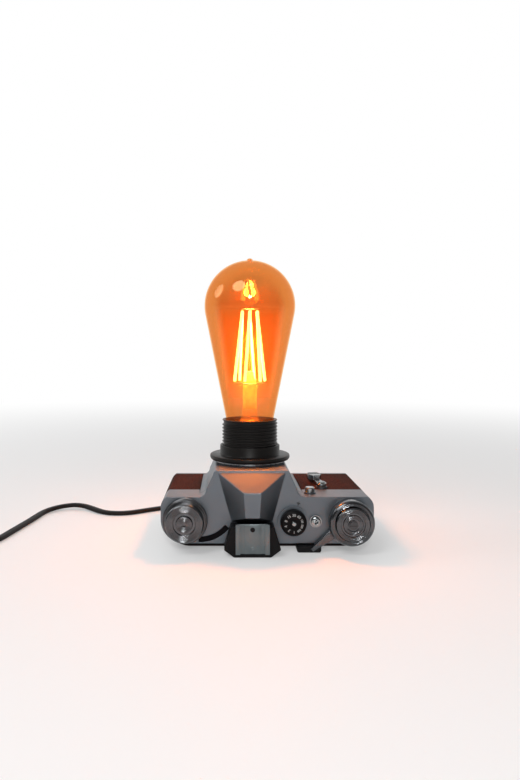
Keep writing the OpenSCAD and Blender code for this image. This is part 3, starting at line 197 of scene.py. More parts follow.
def mottled(name, cloud, low, high, rough, grain=None, **sockets):
    """A finish whose colour and roughness drift with one noise, with a fine grain in relief.

    cloud and grain start with a noise's scale, detail and roughness; grain ends with the
    strength of the relief and its depth in millimetres.
    """
    finish = Finish(name, **sockets)
    drift = finish.noise(*cloud)
    finish.set(Base_Color=finish.tone(drift, low, high), Roughness=rough[0] + drift * rough[1])
    if grain:
        *fine, strength, depth = grain
        finish.set(Normal=finish.relief(finish.noise(*fine), strength, depth * MM))
    return finish


def brushed(name, smears, across_lines, along_lines, low, high, rough, strength):
    """Bright metal with fine lines along Z, given by their scale across and along."""
    finish = Finish(name, Metallic=1.0)
    smear = finish.noise(smears, 4, 0.6)
    x, y, z = finish.axes()
    lines = finish.noise(1.0, 2, 0.5, finish.node("ShaderNodeCombineXYZ", inputs={
        0: x * across_lines, 1: y * across_lines, 2: z * along_lines}))
    finish.set(
        Base_Color=finish.tone(smear, low, high),
        Roughness=rough[0] + smear * rough[1],
        Normal=finish.relief(lines, strength, 0.03 * MM))
    return finish


def satin_chrome():
    finish = Finish("satin_chrome", Metallic=1.0)
    cloud = finish.noise(38, 3)
    grain = finish.noise(5200, 2, 0.6)
    smear = finish.noise(210, 4, 0.65)
    finish.set(
        Base_Color=finish.tone(cloud, (0.138, 0.158, 0.178), (0.178, 0.201, 0.223)),
        Roughness=0.4 + smear * 0.12,
        Normal=finish.relief(grain, 0.22, 0.03 * MM))
    return finish


def turned_aluminium():
    finish = Finish("turned_aluminium", Metallic=1.0)
    rings = finish.rings(DIAL_X, DIAL_Z, 5.5, 3.0, mirrored=True)
    wear = finish.noise(240, 4, 0.6)
    # The rings that stand higher in the relief are painted lighter and the grooves darker: painted
    # highlight and shade in the turning.
    finish.set(
        Base_Color=finish.tone(
            rings.between(0.35, 0.65), (0.045, 0.049, 0.054), (0.17, 0.176, 0.184)),
        Roughness=0.08 + wear * 0.08,
        Normal=finish.relief(rings, 0.3, 0.08 * MM))
    return finish


def leatherette():
    finish = Finish("leatherette", Specular_IOR_Level=0.05)
    pebbles = finish.node("ShaderNodeTexVoronoi", {"feature": "SMOOTH_F1"}, {
        "Vector": finish.place(), "Scale": 1050.0, "Smoothness": 0.55})
    creases = finish.noise(2600, 2, 0.55)
    height = pebbles * -1.0 + creases * 0.3
    # The hollows between the pebbles are painted darker and the pebble tops lighter: painted shade in the
    # grain.
    finish.set(
        Base_Color=finish.tone(pebbles, (0.038, 0.011, 0.0042), (0.015, 0.0045, 0.002)),
        Roughness=0.66 + pebbles * 0.22,
        Normal=finish.relief(height, 0.55, 0.22 * MM))
    return finish


def dial_black():
    finish = Finish("dial_black", Specular_IOR_Level=0.07)
    rings = finish.rings(SPEED_X, SPEED_Z, 6.0, 2.0)
    # The grooves of the turning are painted darker and the rings that stand higher lighter: painted shade
    # and highlight.
    finish.set(
        Base_Color=finish.tone(rings, (0.0035, 0.003, 0.0035), (0.007, 0.0065, 0.007)),
        Roughness=0.3 + rings * 0.16,
        Normal=finish.relief(rings, 0.3, 0.08 * MM))
    return finish


def see_through(finish, tint, share):
    """Lets light through beside the finish's own shader; share is how much of the shader stays."""
    clear = finish.node("ShaderNodeBsdfTransparent", inputs={"Color": (*tint, 1)})
    body = Value(finish, finish.shader.outputs[0])
    mixed = finish.node("ShaderNodeMixShader", inputs={0: share, 1: clear, 2: body})
    finish.tree.links.new(mixed.socket, finish.output.inputs["Surface"])


def amber_glass():
    # Painted glow: the glass gives off orange light and turns deep orange in its middle at the filaments'
    # height, painted light from the filaments.
    finish = Finish("amber_glass", Metallic=1.0, Emission_Strength=1.0)
    edge = finish.node("ShaderNodeLayerWeight", inputs={"Blend": 0.35}, output="Facing")
    _, _, up = finish.axes()
    painted_glow_zone = up.between(0.083, 0.115) * (1 - up.between(0.152, 0.184) * 0.8)
    streaks = finish.noise(85, 3, 0.6)
    painted_glow_core = (1 - edge).between(0.66, 0.86) * painted_glow_zone
    wall = finish.tone(edge.between(0.5, 0.9), (0.55, 0.42, 0.28), (0.4, 0.2, 0.11))
    finish.set(
        Base_Color=finish.tone(painted_glow_core, wall, (0.3, 0.075, 0.007)),
        Roughness=0.03 + (1 - edge).between(0.35, 0.75) * (1 - up.between(0.154, 0.168)) * 0.3,
        Emission_Color=finish.tone(painted_glow_core, (0.3, 0.1, 0.02), (0.52, 0.075, 0.003)))
    see_through(finish, (0.936, 0.695, 0.46), 0.05 + painted_glow_core * (0.13 + streaks * 0.24) + (edge ** 4) * 0.3)
    return finish


def stem_glass():
    # Painted glow: the stem gives off orange light and is lighter and spotted at its top below the
    # filaments, painted light from the filaments.
    finish = Finish("stem_glass", Roughness=0.06, Emission_Strength=1.0)
    edge = finish.node("ShaderNodeLayerWeight", inputs={"Blend": 0.4}, output="Facing")
    _, _, up = finish.axes()
    painted_glow_zone = up.between(0.079, 0.1)
    seeds = finish.noise(420, 3, 0.65).between(0.38, 0.62)
    glow = finish.tone(seeds, (0.55, 0.3, 0.03), (1.0, 0.72, 0.14))
    finish.set(
        Base_Color=finish.tone(painted_glow_zone, (0.5, 0.3, 0.1), (0.8, 0.6, 0.3)),
        Emission_Color=finish.tone(painted_glow_zone, (0.3, 0.12, 0.02), glow))
    see_through(finish, (1.0, 0.95, 0.86), 0.2 + painted_glow_zone * 0.55 + (edge ** 3) * 0.2)
    return finish


def clear_glass():
    finish = Finish("clear_glass", Roughness=0.04)
    edge = finish.node("ShaderNodeLayerWeight", inputs={"Blend": 0.4}, output="Facing")
    cloud = finish.noise(90, 2)
    finish.set(Base_Color=finish.tone(cloud, (0.5, 0.54, 0.56), (0.62, 0.66, 0.68)))
    see_through(finish, (0.94, 0.97, 0.98), 0.14 + (edge ** 3) * 0.5)
    return finish


def glowing_filament():
    finish = Finish("filament", Emission_Strength=14.0, Roughness=0.5)
    _, _, up = finish.axes()
    beads = (up * 5200).sine() * 0.5 + 0.5
    finish.set(
        Base_Color=finish.tone(beads, (0.9, 0.7, 0.3), (1.0, 0.85, 0.5)),
        Emission_Color=finish.tone(beads, (1.0, 0.66, 0.24), (1.0, 0.8, 0.4)))
    return finish


finishes = {
    "satin_chrome": satin_chrome(),
    "bright_chrome": brushed(
        "bright_chrome", 160, 5200, 140, (0.26, 0.28, 0.285), (0.34, 0.355, 0.36), (0.13, 0.12), 0.12),
    "turned_aluminium": turned_aluminium(),
    "steel": mottled(
        "steel", (420, 4, 0.6), (0.38, 0.38, 0.385), (0.5, 0.5, 0.505), (0.2, 0.16),
        (3800, 2, 0.5, 0.15, 0.03), Metallic=1.0),
    "leatherette": leatherette(),
    "black_paint": mottled(
        "black_paint", (150, 3), (0.004, 0.004, 0.0045), (0.008, 0.008, 0.0085), (0.3, 0.18),
        (3000, 2, 0.5, 0.14, 0.04), Specular_IOR_Level=0.1),
    "dial_black": dial_black(),
    "black_plastic": mottled(
        "black_plastic", (260, 3), (0.0045, 0.0045, 0.005), (0.009, 0.009, 0.0095), (0.34, 0.14),
        (4200, 2, 0.6, 0.22, 0.05), Specular_IOR_Level=0.11),
    "lampholder_black": mottled(
        "lampholder_black", (130, 3), (0.006, 0.005, 0.005), (0.011, 0.01, 0.009), (0.3, 0.14),
        (1900, 2, 0.5, 0.08, 0.04), Specular_IOR_Level=0.16),
    "rubber": mottled(
        "rubber", (320, 3), (0.014, 0.014, 0.014), (0.024, 0.023, 0.022), (0.62, 0.2),
        (3600, 2, 0.6, 0.3, 0.06), Specular_IOR_Level=0.2),
    "cord_black": mottled(
        "cord_black", (180, 4, 0.6), (0.005, 0.0045, 0.0045), (0.011, 0.01, 0.01), (0.4, 0.22),
        (2300, 3, 0.6, 0.2, 0.06), Specular_IOR_Level=0.13),
    "wire_sheath": mottled(
        "wire_sheath", (300, 2), (0.1, 0.045, 0.02), (0.16, 0.075, 0.035), (0.38, 0.15)),
    "brass": mottled(
        "brass", (300, 4, 0.6), (0.62, 0.42, 0.14), (0.75, 0.55, 0.24), (0.22, 0.18),
        (3000, 2, 0.5, 0.12, 0.03), Metallic=1.0),
    "ceramic": mottled(
        "ceramic", (200, 3), (0.74, 0.71, 0.64), (0.83, 0.81, 0.76), (0.25, 0.12),
        Coat_Weight=0.5, Coat_Roughness=0.08),
    "bulb_cap_metal": mottled(
        "bulb_cap_metal", (260, 4, 0.6), (0.5, 0.47, 0.4), (0.64, 0.62, 0.56), (0.24, 0.16),
        (2600, 2, 0.5, 0.14, 0.04), Metallic=1.0),
    "amber_glass": amber_glass(),
    "stem_glass": stem_glass(),
    "clear_glass": clear_glass(),
    "window_glass": mottled(
        "window_glass", (120, 2), (0.002, 0.002, 0.003), (0.005, 0.005, 0.006), (0.16, 0.1),
        Specular_IOR_Level=0.04),
    "filament": glowing_filament(),
}
# A dark metal for the film-speed ring and the wind post; its darkness is a painted dark reflection.
DARK_REFLECTION_METAL = mottled(
    "dark_reflection_metal", (260, 4, 0.6), (0.055, 0.057, 0.06), (0.1, 0.102, 0.106), (0.16, 0.14),
    (2800, 2, 0.5, 0.1, 0.03), Metallic=1.0)
# A darker copy of the bright chrome, for the accessory shoe, its spring and the lower screw.
DARKER_CHROME = brushed("darker_chrome", 140, 4200, 90, (0.13, 0.155, 0.162), (0.175, 0.2, 0.208), (0.3, 0.14), 0.16)
WHITE = mottled("numeral_white", (800, 2), (0.27, 0.27, 0.27), (0.38, 0.38, 0.375), (0.5, 0.1))
BLACK = mottled("numeral_black", (800, 2), (0.012, 0.012, 0.012), (0.03, 0.03, 0.03), (0.5, 0.1))
slot_of = {part["node"]: part["material_slot"] for part in frame["record"]["subparts"]}
own_finish = {"wind_post": DARK_REFLECTION_METAL}
for name, solid in nodes.items():
    solid.data.materials.clear()
    solid.data.materials.append(own_finish.get(name, finishes[slot_of[name]]).material)


# Modelling helpers

def only(*objects):
    bpy.ops.object.select_all(action="DESELECT")
    for obj in objects:
        obj.select_set(True)
    bpy.context.view_layer.objects.active = objects[0]


def edit(obj):
    only(obj)
    bpy.ops.object.mode_set(mode="EDIT")
    bpy.ops.mesh.select_all(action="SELECT")


def done():
    bpy.ops.object.mode_set(mode="OBJECT")


def apply(obj, kind, **settings):
    only(obj)
    step = obj.modifiers.new("step", kind)
    for name, value in settings.items():
        setattr(step, name, value)
    bpy.ops.object.modifier_apply(modifier=step.name)


def smooth(obj, angle=32):
    only(obj)
    bpy.ops.object.shade_smooth_by_angle(angle=math.radians(angle))


def finished(obj, slot, body, *replaced, finish=None):
    """Gives a piece its finish, its body and the solids that it stands for."""
    obj.data.materials.clear()
    obj.data.materials.append((finish or finishes[slot]).material)
    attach(obj, body)
    if replaced:
        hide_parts(*replaced)
    return obj


def join(first, *others):
    only(first, *others)
    bpy.ops.object.join()
    return first


def wire(name, points):
    """A line of vertices in X and Z, drawn out point by point, in millimetres."""
    bpy.ops.object.select_all(action="DESELECT")
    bpy.ops.mesh.primitive_plane_add(size=MM, location=(0, 0, 0))
    obj = bpy.context.object
    obj.name = name
    bpy.ops.object.mode_set(mode="EDIT")
    bpy.ops.mesh.select_all(action="SELECT")
    bpy.ops.mesh.merge(type="CENTER")
    bpy.ops.transform.translate(value=(points[0][0] * MM, 0, points[0][1] * MM))
    for here, there in zip(points, points[1:]):
        way = ((there[0] - here[0]) * MM, 0, (there[1] - here[1]) * MM)
        bpy.ops.mesh.extrude_vertices_move(TRANSFORM_OT_translate={"value": way})
    done()
    return obj


def lathe(name, profile, steps=72):
    """Turns a profile of radius and height about the Z axis."""
    obj = wire(name, profile)
    edit(obj)
    bpy.ops.mesh.spin(steps=steps, angle=2 * math.pi, center=(0, 0, 0), axis=(0, 0, 1))
    bpy.ops.mesh.select_all(action="SELECT")
    bpy.ops.mesh.remove_doubles(threshold=1e-6)
    bpy.ops.mesh.normals_make_consistent(inside=False)
    done()
    return obj


RING_DEPTH = 0.19  # of the pitch of a turned ring
RING_POINTS = 6


def ripples(r_out, r_in, height, pitch=0.62):
    """Profile points of a face turned in fine rings, from its rim to its middle."""
    rings = max(round((r_out - r_in) / pitch), 1)
    depth = RING_DEPTH * (r_out - r_in) / rings
    steps = rings * RING_POINTS
    out = []
    for k in range(steps + 1):
        dip = 0.5 - 0.5 * math.cos(2 * math.pi * rings * k / steps)
        out.append((r_out + (r_in - r_out) * k / steps, height - depth * dip))
    return out


def stand(obj, x, y, z):
    """Moves a piece from the origin to a place, in millimetres."""
    obj.data.transform(Matrix.Translation((x * MM, y * MM, z * MM)))
    return obj


def on_top(obj, x, z, turn=0):
    """Sets a piece that was made on the Z axis on the top plate, facing the viewer."""
    lay = Matrix.Rotation(math.radians(90), 4, "X") @ Matrix.Rotation(math.radians(turn), 4, "Z")
    obj.data.transform(Matrix.Translation((x * MM, Y_TOP * MM, z * MM)) @ lay)
    return obj


def block(name, size, at):
    """A box of a size about a place, in millimetres."""
    bpy.ops.object.select_all(action="DESELECT")
    bpy.ops.mesh.primitive_cube_add(size=1, location=(0, 0, 0))
    obj = bpy.context.object
    obj.name = name
    grown = Matrix.Diagonal([side * MM for side in size] + [1])
    obj.data.transform(Matrix.Translation([c * MM for c in at]) @ grown)
    return obj


def slab(name, outline, depth):
    """A flat outline in X and Z, in millimetres, drawn out along Y by a depth."""
    obj = wire(name, outline + outline[:1])
    edit(obj)
    bpy.ops.mesh.remove_doubles(threshold=1e-6)
    bpy.ops.mesh.select_all(action="SELECT")
    bpy.ops.mesh.edge_face_add()
    bpy.ops.mesh.extrude_region_move(TRANSFORM_OT_translate={"value": (0, depth * MM, 0)})
    bpy.ops.mesh.select_all(action="SELECT")
    bpy.ops.mesh.normals_make_consistent(inside=False)
    done()
    return obj


def pick(obj, chosen):
    """Goes into edit mode with only the points that are chosen by their place, in millimetres."""
    only(obj)
    bpy.ops.object.mode_set(mode="EDIT")
    bpy.ops.mesh.select_mode(type="VERT")
    bpy.ops.mesh.select_all(action="DESELECT")
    done()
    for point in obj.data.vertices:
        point.select = chosen(*(point.co / MM))
    bpy.ops.object.mode_set(mode="EDIT")


def knurl(obj, count, depth, r_rim, low, high):
    """Draws every other row of a turned rim inwards."""
    def in_valley(x, y, z):
        turn = math.atan2(y, x) / (2 * math.pi) * count
        valley = abs(turn - math.floor(turn) - 0.5) < 0.3
        return valley and math.hypot(x, y) > r_rim - 0.1 and low < z < high

    pick(obj, in_valley)
    keep = 1 - depth / r_rim
    bpy.ops.transform.resize(value=(keep, keep, 1), center_override=(0, 0, 0))
    done()


def softened(node, body, width=0.25, segments=2, angle=35):
    """A copy of a solid with its sharp edges broken."""
    solid = nodes[node]
    obj = bpy.data.objects.new("soft_" + node, solid.data.copy())
    scene.collection.objects.link(obj)
    edit(obj)
    bpy.ops.mesh.remove_doubles(threshold=2e-6)
    bpy.ops.mesh.dissolve_limited(angle_limit=math.radians(1.5))
    done()
    apply(obj, "BEVEL", width=width * MM, segments=segments, limit_method="ANGLE",
          angle_limit=math.radians(angle), use_clamp_overlap=False, miter_outer="MITER_ARC")
    smooth(obj, 34)
    apply(obj, "WEIGHTED_NORMAL", keep_sharp=True)
    finished(obj, slot_of[node], body, node)
    return obj


def rounded_edges(obj, width, segments=3, angle=40):
    """Rounds the edges that are sharper than an angle by a width, in millimetres."""
    apply(obj, "BEVEL", width=width * MM, segments=segments, limit_method="ANGLE",
          angle_limit=math.radians(angle))
    return obj


def lettering(text, size, thick):
    """A number as a flat solid, centred on the Z axis."""
    bpy.ops.object.select_all(action="DESELECT")
    bpy.ops.object.text_add(location=(0, 0, 0))
    obj = bpy.context.object
    obj.data.body = text
    obj.data.size = size * MM
    obj.data.extrude = thick * MM / 2
    obj.data.offset = 0.05 * MM
    obj.data.resolution_u = 3
    obj.data.align_x = "CENTER"
    obj.data.align_y = "CENTER"
    bpy.ops.object.convert(target="MESH")
    return bpy.context.object


# Cord

CORD_W, CORD_T = 5.8, 3.4
EXIT_X, EXIT_Y, EXIT_BEND_R, EXIT_BEND = -27, 53, 24, 95
COIL_X, COIL_Y, COIL_R, COIL_STEP = -316, 6, 40, 4.4
COIL_TURNS, TURN_POINTS = 6.5, 24
LOWER_LAYER, LAYER_RISE = 3.9, 6.4


def cord_route():
    """The cord's points in millimetres, each with the roll of its flat section in degrees.

    It leaves the base plate, falls to the table in a bend, runs through the switch, winds into
    the coil from outside to inside and back on a second layer, and ends in the plug.
    """
    points = [(EXIT_X, 49, 12, 0), (EXIT_X, 51, 12, 0), (EXIT_X, EXIT_Y, 11.6, 0)]
    falls = [10.3, 8.5, 6.6, 4.8, 3.3, 2.2, 1.8]
    for i, z in enumerate(falls):
        a = math.radians(EXIT_BEND * (i + 1) / len(falls))
        points.append((EXIT_X - EXIT_BEND_R * (1 - math.cos(a)), EXIT_Y + EXIT_BEND_R * math.sin(a), z, 0))
    on_table = [
        (-62, 75.9, 0), (-71, 74.3, 0), (-80.5, 71.4, 0), (-90.5, 65.4, 0), (-100, 59.2, 0),
        (-106, 56.9, 0), (-112, 56, 0), (-120.2, 57.45, 0), (-127.4, 61.6, 0.2), (-136.4, 68.95, 0.9),
        (-143, 72.8, 1.6), (-150.5, 74.1, 2), (-158, 72.8, 1.6), (-164.6, 68.95, 1), (-169.55, 63.1, 0.4),
        (-172.3, 55.2, 0), (-173.2, 47, 0), (-174.8, 33, 0), (-176.6, 20, 0), (-178.6, 6, 0),
        (-180.6, -8, 0), (-182.6, -15.6, 0), (-186.4, -22.4, 0), (-191.8, -27.9, 0), (-198.4, -31.7, 0),
        (-205, -33.5, 0)]
    points += [(x, y, CORD_T / 2 + lift, 0) for x, y, lift in on_table]
    through_switch = [
        (-211, 2.9, 0), (-218, 5, 0), (-222, 5, 0), (-242, 5, 0), (-262, 5, 0), (-282, 5, 0), (-288, 5, 8),
        (-294, 4.8, 30), (-300, 4.4, 58), (-307, 4.1, 82)]
    points += [(x, SWITCH_Y, z, roll) for x, z, roll in through_switch]
    middle = COIL_TURNS / 2
    for i in range(int(COIL_TURNS * TURN_POINTS) + 1):
        t = i / TURN_POINTS
        r = COIL_R - COIL_STEP * (middle - abs(t - middle))
        a = math.radians(-90 - 360 * t)
        climb = min(max((t - middle + 0.25) / 0.5, 0), 1)
        z = LOWER_LAYER + LAYER_RISE * climb
        points.append((COIL_X + r * math.cos(a), COIL_Y + r * math.sin(a), z, 90))
    to_plug = [
        (-306, 45.6, 10.4), (-295, 42.5, 9.6), (-285, 38.7, 7.7), (-281.8, PLUG_Y, 6.85),
        (PLUG_X, PLUG_Y, 6.85)]
    points += [(x, y, z, 90) for x, y, z in to_plug]
    return [(Vector((x, y, z)) * MM, math.radians(roll)) for x, y, z, roll in points]


def eased(route, parts=3):
    """The route with points between, on a smooth curve through its own points."""
    out = []
    for i in range(len(route) - 1):
        p = [route[min(max(i + k, 0), len(route) - 1)] for k in (-1, 0, 1, 2)]
        for j in range(parts):
            t = j / parts
            spot = 0.5 * (2 * p[1][0] + (p[2][0] - p[0][0]) * t
                          + (2 * p[0][0] - 5 * p[1][0] + 4 * p[2][0] - p[3][0]) * t * t
                          + (3 * p[1][0] - p[0][0] - 3 * p[2][0] + p[3][0]) * t ** 3)
            out.append((spot, p[1][1] + (p[2][1] - p[1][1]) * t))
    return out + [route[-1]]


def flat_section(sides=16):
    """Section of the flat cord: two round cores side by side with a shallow valley between."""
    ring = []
    for k in range(sides):
        a = 2 * math.pi * k / sides
        u = math.cos(a)
        valley = 1 - 0.13 * math.exp(-(u / 0.3) ** 2)
        ring.append((CORD_W / 2 * math.copysign(abs(u) ** 0.8, u), CORD_T / 2 * math.sin(a) * valley))
    return ring


def swept(name, route, ring_at):
    """A closed tube along a route; ring_at gives the section at a share of the way."""
    spots = []
    faces = []
    last = len(route) - 1
    for i, (spot, roll) in enumerate(route):
        way = (route[min(i + 1, last)][0] - route[max(i - 1, 0)][0]).normalized()
        across = Vector((0, 0, 1)).cross(way).normalized()
        up = way.cross(across)
        ring = ring_at(i / last)
        for u, v in ring:
            side = u * math.cos(roll) - v * math.sin(roll)
            rise = u * math.sin(roll) + v * math.cos(roll)
            spots.append(spot + (across * side + up * rise) * MM)
    sides = len(ring)
    for i in range(last):
        for k in range(sides):
            a, b = i * sides + k, i * sides + (k + 1) % sides
            faces.append((a, b, b + sides, a + sides))
    faces.append(tuple(reversed(range(sides))))
    faces.append(tuple(last * sides + k for k in range(sides)))
    mesh = bpy.data.meshes.new(name)
    mesh.from_pydata(spots, [], faces)
    obj = bpy.data.objects.new(name, mesh)
    scene.collection.objects.link(obj)
    edit(obj)
    bpy.ops.mesh.normals_make_consistent(inside=False)
    done()
    smooth(obj, 60)
    return obj


route = cord_route()
section = flat_section()
cord = swept("cord", eased(route), lambda share: section)
finished(cord, "cord_black", "camera", "cord_lead", "cord_coil")


# Bulb

Z_CAP, Z_NECK, Z_ROUND = 77, 83, 161.4
BULB_R, NECK_R, FOOT_R, GLASS_T = 32, 16.95, 12.8, 0.8
FOOT_STEPS, CONE_STEPS, ROUND_STEPS = 8, 12, 24
TIP_START = math.radians(85.6)


def glass_outline():
    """Half outline of the glass from its foot to the sealed tip."""
    reach = math.hypot(NECK_R, Z_ROUND - Z_NECK)
    lean = math.asin(BULB_R / reach) - math.atan2(NECK_R, Z_ROUND - Z_NECK)
    outline = []
    for i in range(FOOT_STEPS + 1):
        a = math.pi / 2 * i / FOOT_STEPS
        r = FOOT_R + (NECK_R - FOOT_R) * math.sin(a)
        outline.append((r, Z_CAP + (Z_NECK - Z_CAP) * (1 - math.cos(a))))
    cone_r, cone_z = BULB_R * math.cos(lean), Z_ROUND - BULB_R * math.sin(lean)
    for i in range(1, CONE_STEPS):
        t = i / CONE_STEPS
        outline.append((NECK_R + (cone_r - NECK_R) * t, Z_NECK + (cone_z - Z_NECK) * t))
    for i in range(ROUND_STEPS + 1):
        a = -lean + (TIP_START + lean) * i / ROUND_STEPS
        outline.append((BULB_R * math.cos(a), Z_ROUND + BULB_R * math.sin(a)))
    top = Z_ROUND + BULB_R
    tip = [(2.1, 0.3), (1.95, 0.9), (1.4, 1.35), (0.7, 1.55), (0, 1.6)]
    return outline + [(r, top + rise) for r, rise in tip]


glass = lathe("bulb_envelope", glass_outline(), 96)
apply(glass, "SOLIDIFY", thickness=GLASS_T * MM, offset=-1)
smooth(stand(glass, LENS_X, LENS_Y, 0), 60)
finished(glass, "amber_glass", "bulb", "bulb_glass")


def thread(name, r, rise, low, pitch, turns, foot, crest):
    """A helical ridge of whole turns on a wall of radius r, closed at its ends."""
    ridge = wire(name, [(r - 0.15, low), (r - 0.15, low + foot), (r + rise, low + (foot + crest) / 2),
                        (r + rise, low + (foot - crest) / 2), (r - 0.15, low)])
    edit(ridge)
    bpy.ops.mesh.remove_doubles(threshold=1e-6)
    done()
    apply(ridge, "SCREW", axis="Z", angle=2 * math.pi, screw_offset=pitch * MM, iterations=turns,
          steps=60, render_steps=60, use_merge_vertices=False)
    edit(ridge)
    bpy.ops.mesh.remove_doubles(threshold=1e-6)
    bpy.ops.mesh.fill_holes(sides=0)
    bpy.ops.mesh.select_all(action="SELECT")
    bpy.ops.mesh.normals_make_consistent(inside=False)
    done()
    return ridge


cap = lathe("bulb_cap_shell", [
    (0, 54.2), (4.5, 54.2), (6.5, 55.2), (9.5, 56.9), (11.6, 58), (12.3, 58.6), (12.3, 73.2), (12.6, 73.6),
    (13.1, 74), (13.1, 76.4), (12.9, 76.9), (12.4, Z_CAP), (0, Z_CAP)], 64)
cap = join(cap, thread("cap_thread", r=12.3, rise=0.75, low=58.9, pitch=3.6, turns=3, foot=3.0, crest=1.0))
smooth(stand(cap, LENS_X, LENS_Y, 0), 40)
finished(cap, "bulb_cap_metal", "bulb", "bulb_cap")

STEM_FOOT_R, STEM_R, FLARE_H = 10.5, 5, 14
stem_profile = [(0, Z_CAP), (STEM_FOOT_R, Z_CAP)]
for degrees in range(10, 91, 10):
    a = math.radians(degrees)
    r = STEM_FOOT_R - (STEM_FOOT_R - STEM_R) * math.sin(a)
    stem_profile.append((r, Z_CAP + FLARE_H * (1 - math.cos(a))))
stem_profile += [
    (STEM_R, 99), (4.9, 105), (4.6, 107.4), (3.6, 109.6), (2.7, 111.2), (2.6, 114.4), (2.2, 115), (0, 115)]
stem = lathe("bulb_stem_glass", stem_profile, 48)
smooth(stand(stem, LENS_X, LENS_Y, 0), 50)
finished(stem, "stem_glass", "bulb", "bulb_stem")

STRIPS, STRIP_R, STRIP_TWIST = 6, 1.05, 20
LOW_R, LOW_Z = 11, 108
HIGH_R, HIGH_Z = 6, 158


def strip_end(i, r, turn, z):
    """Where the end of one filament strip is, on a circle about the lamp's axis."""
    a = math.radians(10 + 360 / STRIPS * i + turn)
    return Vector((LENS_X + r * math.cos(a), LENS_Y + r * math.sin(a), z))


def rod(name, start, end, r, sides=16):
    """A round rod with domed ends between two points, in millimetres."""
    way = end - start
    dome = [(r * math.sin(math.radians(a)), -r * math.cos(math.radians(a))) for a in range(0, 91, 18)]
    profile = [(u, v + r) for u, v in dome] + [(u, way.length - r - v) for u, v in reversed(dome)]
    obj = lathe(name, profile, sides)
    turn = way.to_track_quat("Z", "Y").to_matrix().to_4x4()
    obj.data.transform(Matrix.Translation(start * MM) @ turn)
    return obj


strips = []
for i in range(STRIPS):
    low, high = strip_end(i, LOW_R, 0, LOW_Z), strip_end(i, HIGH_R, STRIP_TWIST, HIGH_Z)
    strips.append(rod("filament_strips", low, high, STRIP_R))
strips = join(*strips)
smooth(strips, 60)
finished(strips, "filament", "bulb", "filaments")


# Lampholder

skirt = lathe("lampholder_tube", [
    (17.45, 46), (19.4, 46), (19.45, 57), (18.5, 57.4), (18.5, 80.4), (19.2, 80.8), (19.3, 81.2),
    (19.1, 81.55), (18.6, 81.6), (17.7, 81.6), (17.45, 81.3), (17.45, 46)], 96)
ridge = thread("skirt_thread", r=18.5, rise=0.92, low=57.2, pitch=2.3, turns=9, foot=1.9, crest=0.6)
skirt = join(skirt, ridge)
smooth(stand(skirt, LENS_X, LENS_Y, 0), 38)
finished(skirt, "lampholder_black", "camera", "lampholder_skirt")

collar = lathe("shade_collar", [
    (19.5, 53.8), (26.6, 53.8), (27.2, 53.95), (27.75, 54.6), (28, 55.2), (28, 56.3), (27.8, 56.9),
    (27.3, 57.2), (21.8, 57.2), (21.2, 57.35), (20.95, 57.8), (20.95, 63.1), (20.8, 63.55), (20.4, 63.8),
    (19.8, 63.8), (19.5, 63.6), (19.5, 53.8)], 112)
smooth(stand(collar, LENS_X, LENS_Y, 0), 38)
finished(collar, "lampholder_black", "camera", "shade_ring")


# Camera body

edge_widths = {
    "base_plate": 0.5, "front_housing": 0.5, "top_plate": 0.45, "shoe_adapter": 0.6, "lever_grip": 0.7,
    "back_door": 0.3, "timer_lever": 0.3, "lens_mount_ring": 0.2, "eyepiece_frame": 0.25,
    "door_latch": 0.25}
for node, width in edge_widths.items():
    body = next(b for b, held in frame["record"]["behaviour"]["bodies"].items() if node in held)
    softened(node, body, width)


# The shoe is folded from sheet: floor, two upright sides and two rails over the slot

SHOE_Y, SHOE_Z, SHOE_L = -44.6, 2.5, 18.7
SHOE_HALF, SHOE_WALL, SHOE_RAIL, SHEET, SLOT_H = 10.7, 1.35, 3.0, 0.4, 1.6
rim = 2 * SHEET + SLOT_H
inner, lip, under = SHOE_HALF - SHOE_WALL, SHOE_HALF - SHOE_RAIL, rim - SHEET
shoe = slab("folded_shoe", [
    (-SHOE_HALF, 0), (SHOE_HALF, 0), (SHOE_HALF, rim), (lip, rim), (lip, under), (inner, under),
    (inner, SHEET), (-inner, SHEET), (-inner, under), (-lip, under), (-lip, rim),
    (-SHOE_HALF, rim)], SHOE_L)
rounded_edges(shoe, 0.18)
shoe.data.transform(Matrix((
    (1, 0, 0, LENS_X * MM), (0, 0, -1, SHOE_Y * MM), (0, 1, 0, SHOE_Z * MM), (0, 0, 0, 1))))
smooth(shoe, 34)
finished(shoe, "bright_chrome", "camera", "accessory_shoe", finish=DARKER_CHROME)

SPRING_HALF, SPRING_L, SPRING_T, NOTCH_HALF = 5.5, 18.2, 0.2, 1.6
spring = slab("shoe_spring", [
    (-SPRING_HALF, 0), (-NOTCH_HALF, 0), (-NOTCH_HALF, 2.2), (NOTCH_HALF, 2.2), (NOTCH_HALF, 0),
    (SPRING_HALF, 0), (SPRING_HALF, SPRING_L - 0.8), (SPRING_HALF - 0.8, SPRING_L),
    (0.8 - SPRING_HALF, SPRING_L), (-SPRING_HALF, SPRING_L - 0.8)], -SPRING_T)
rounded_edges(spring, 0.09, 2)
stand(spring, LENS_X, SHOE_Y - SHEET, SHOE_Z)
smooth(spring, 34)
finished(spring, "bright_chrome", "camera", finish=DARKER_CHROME)


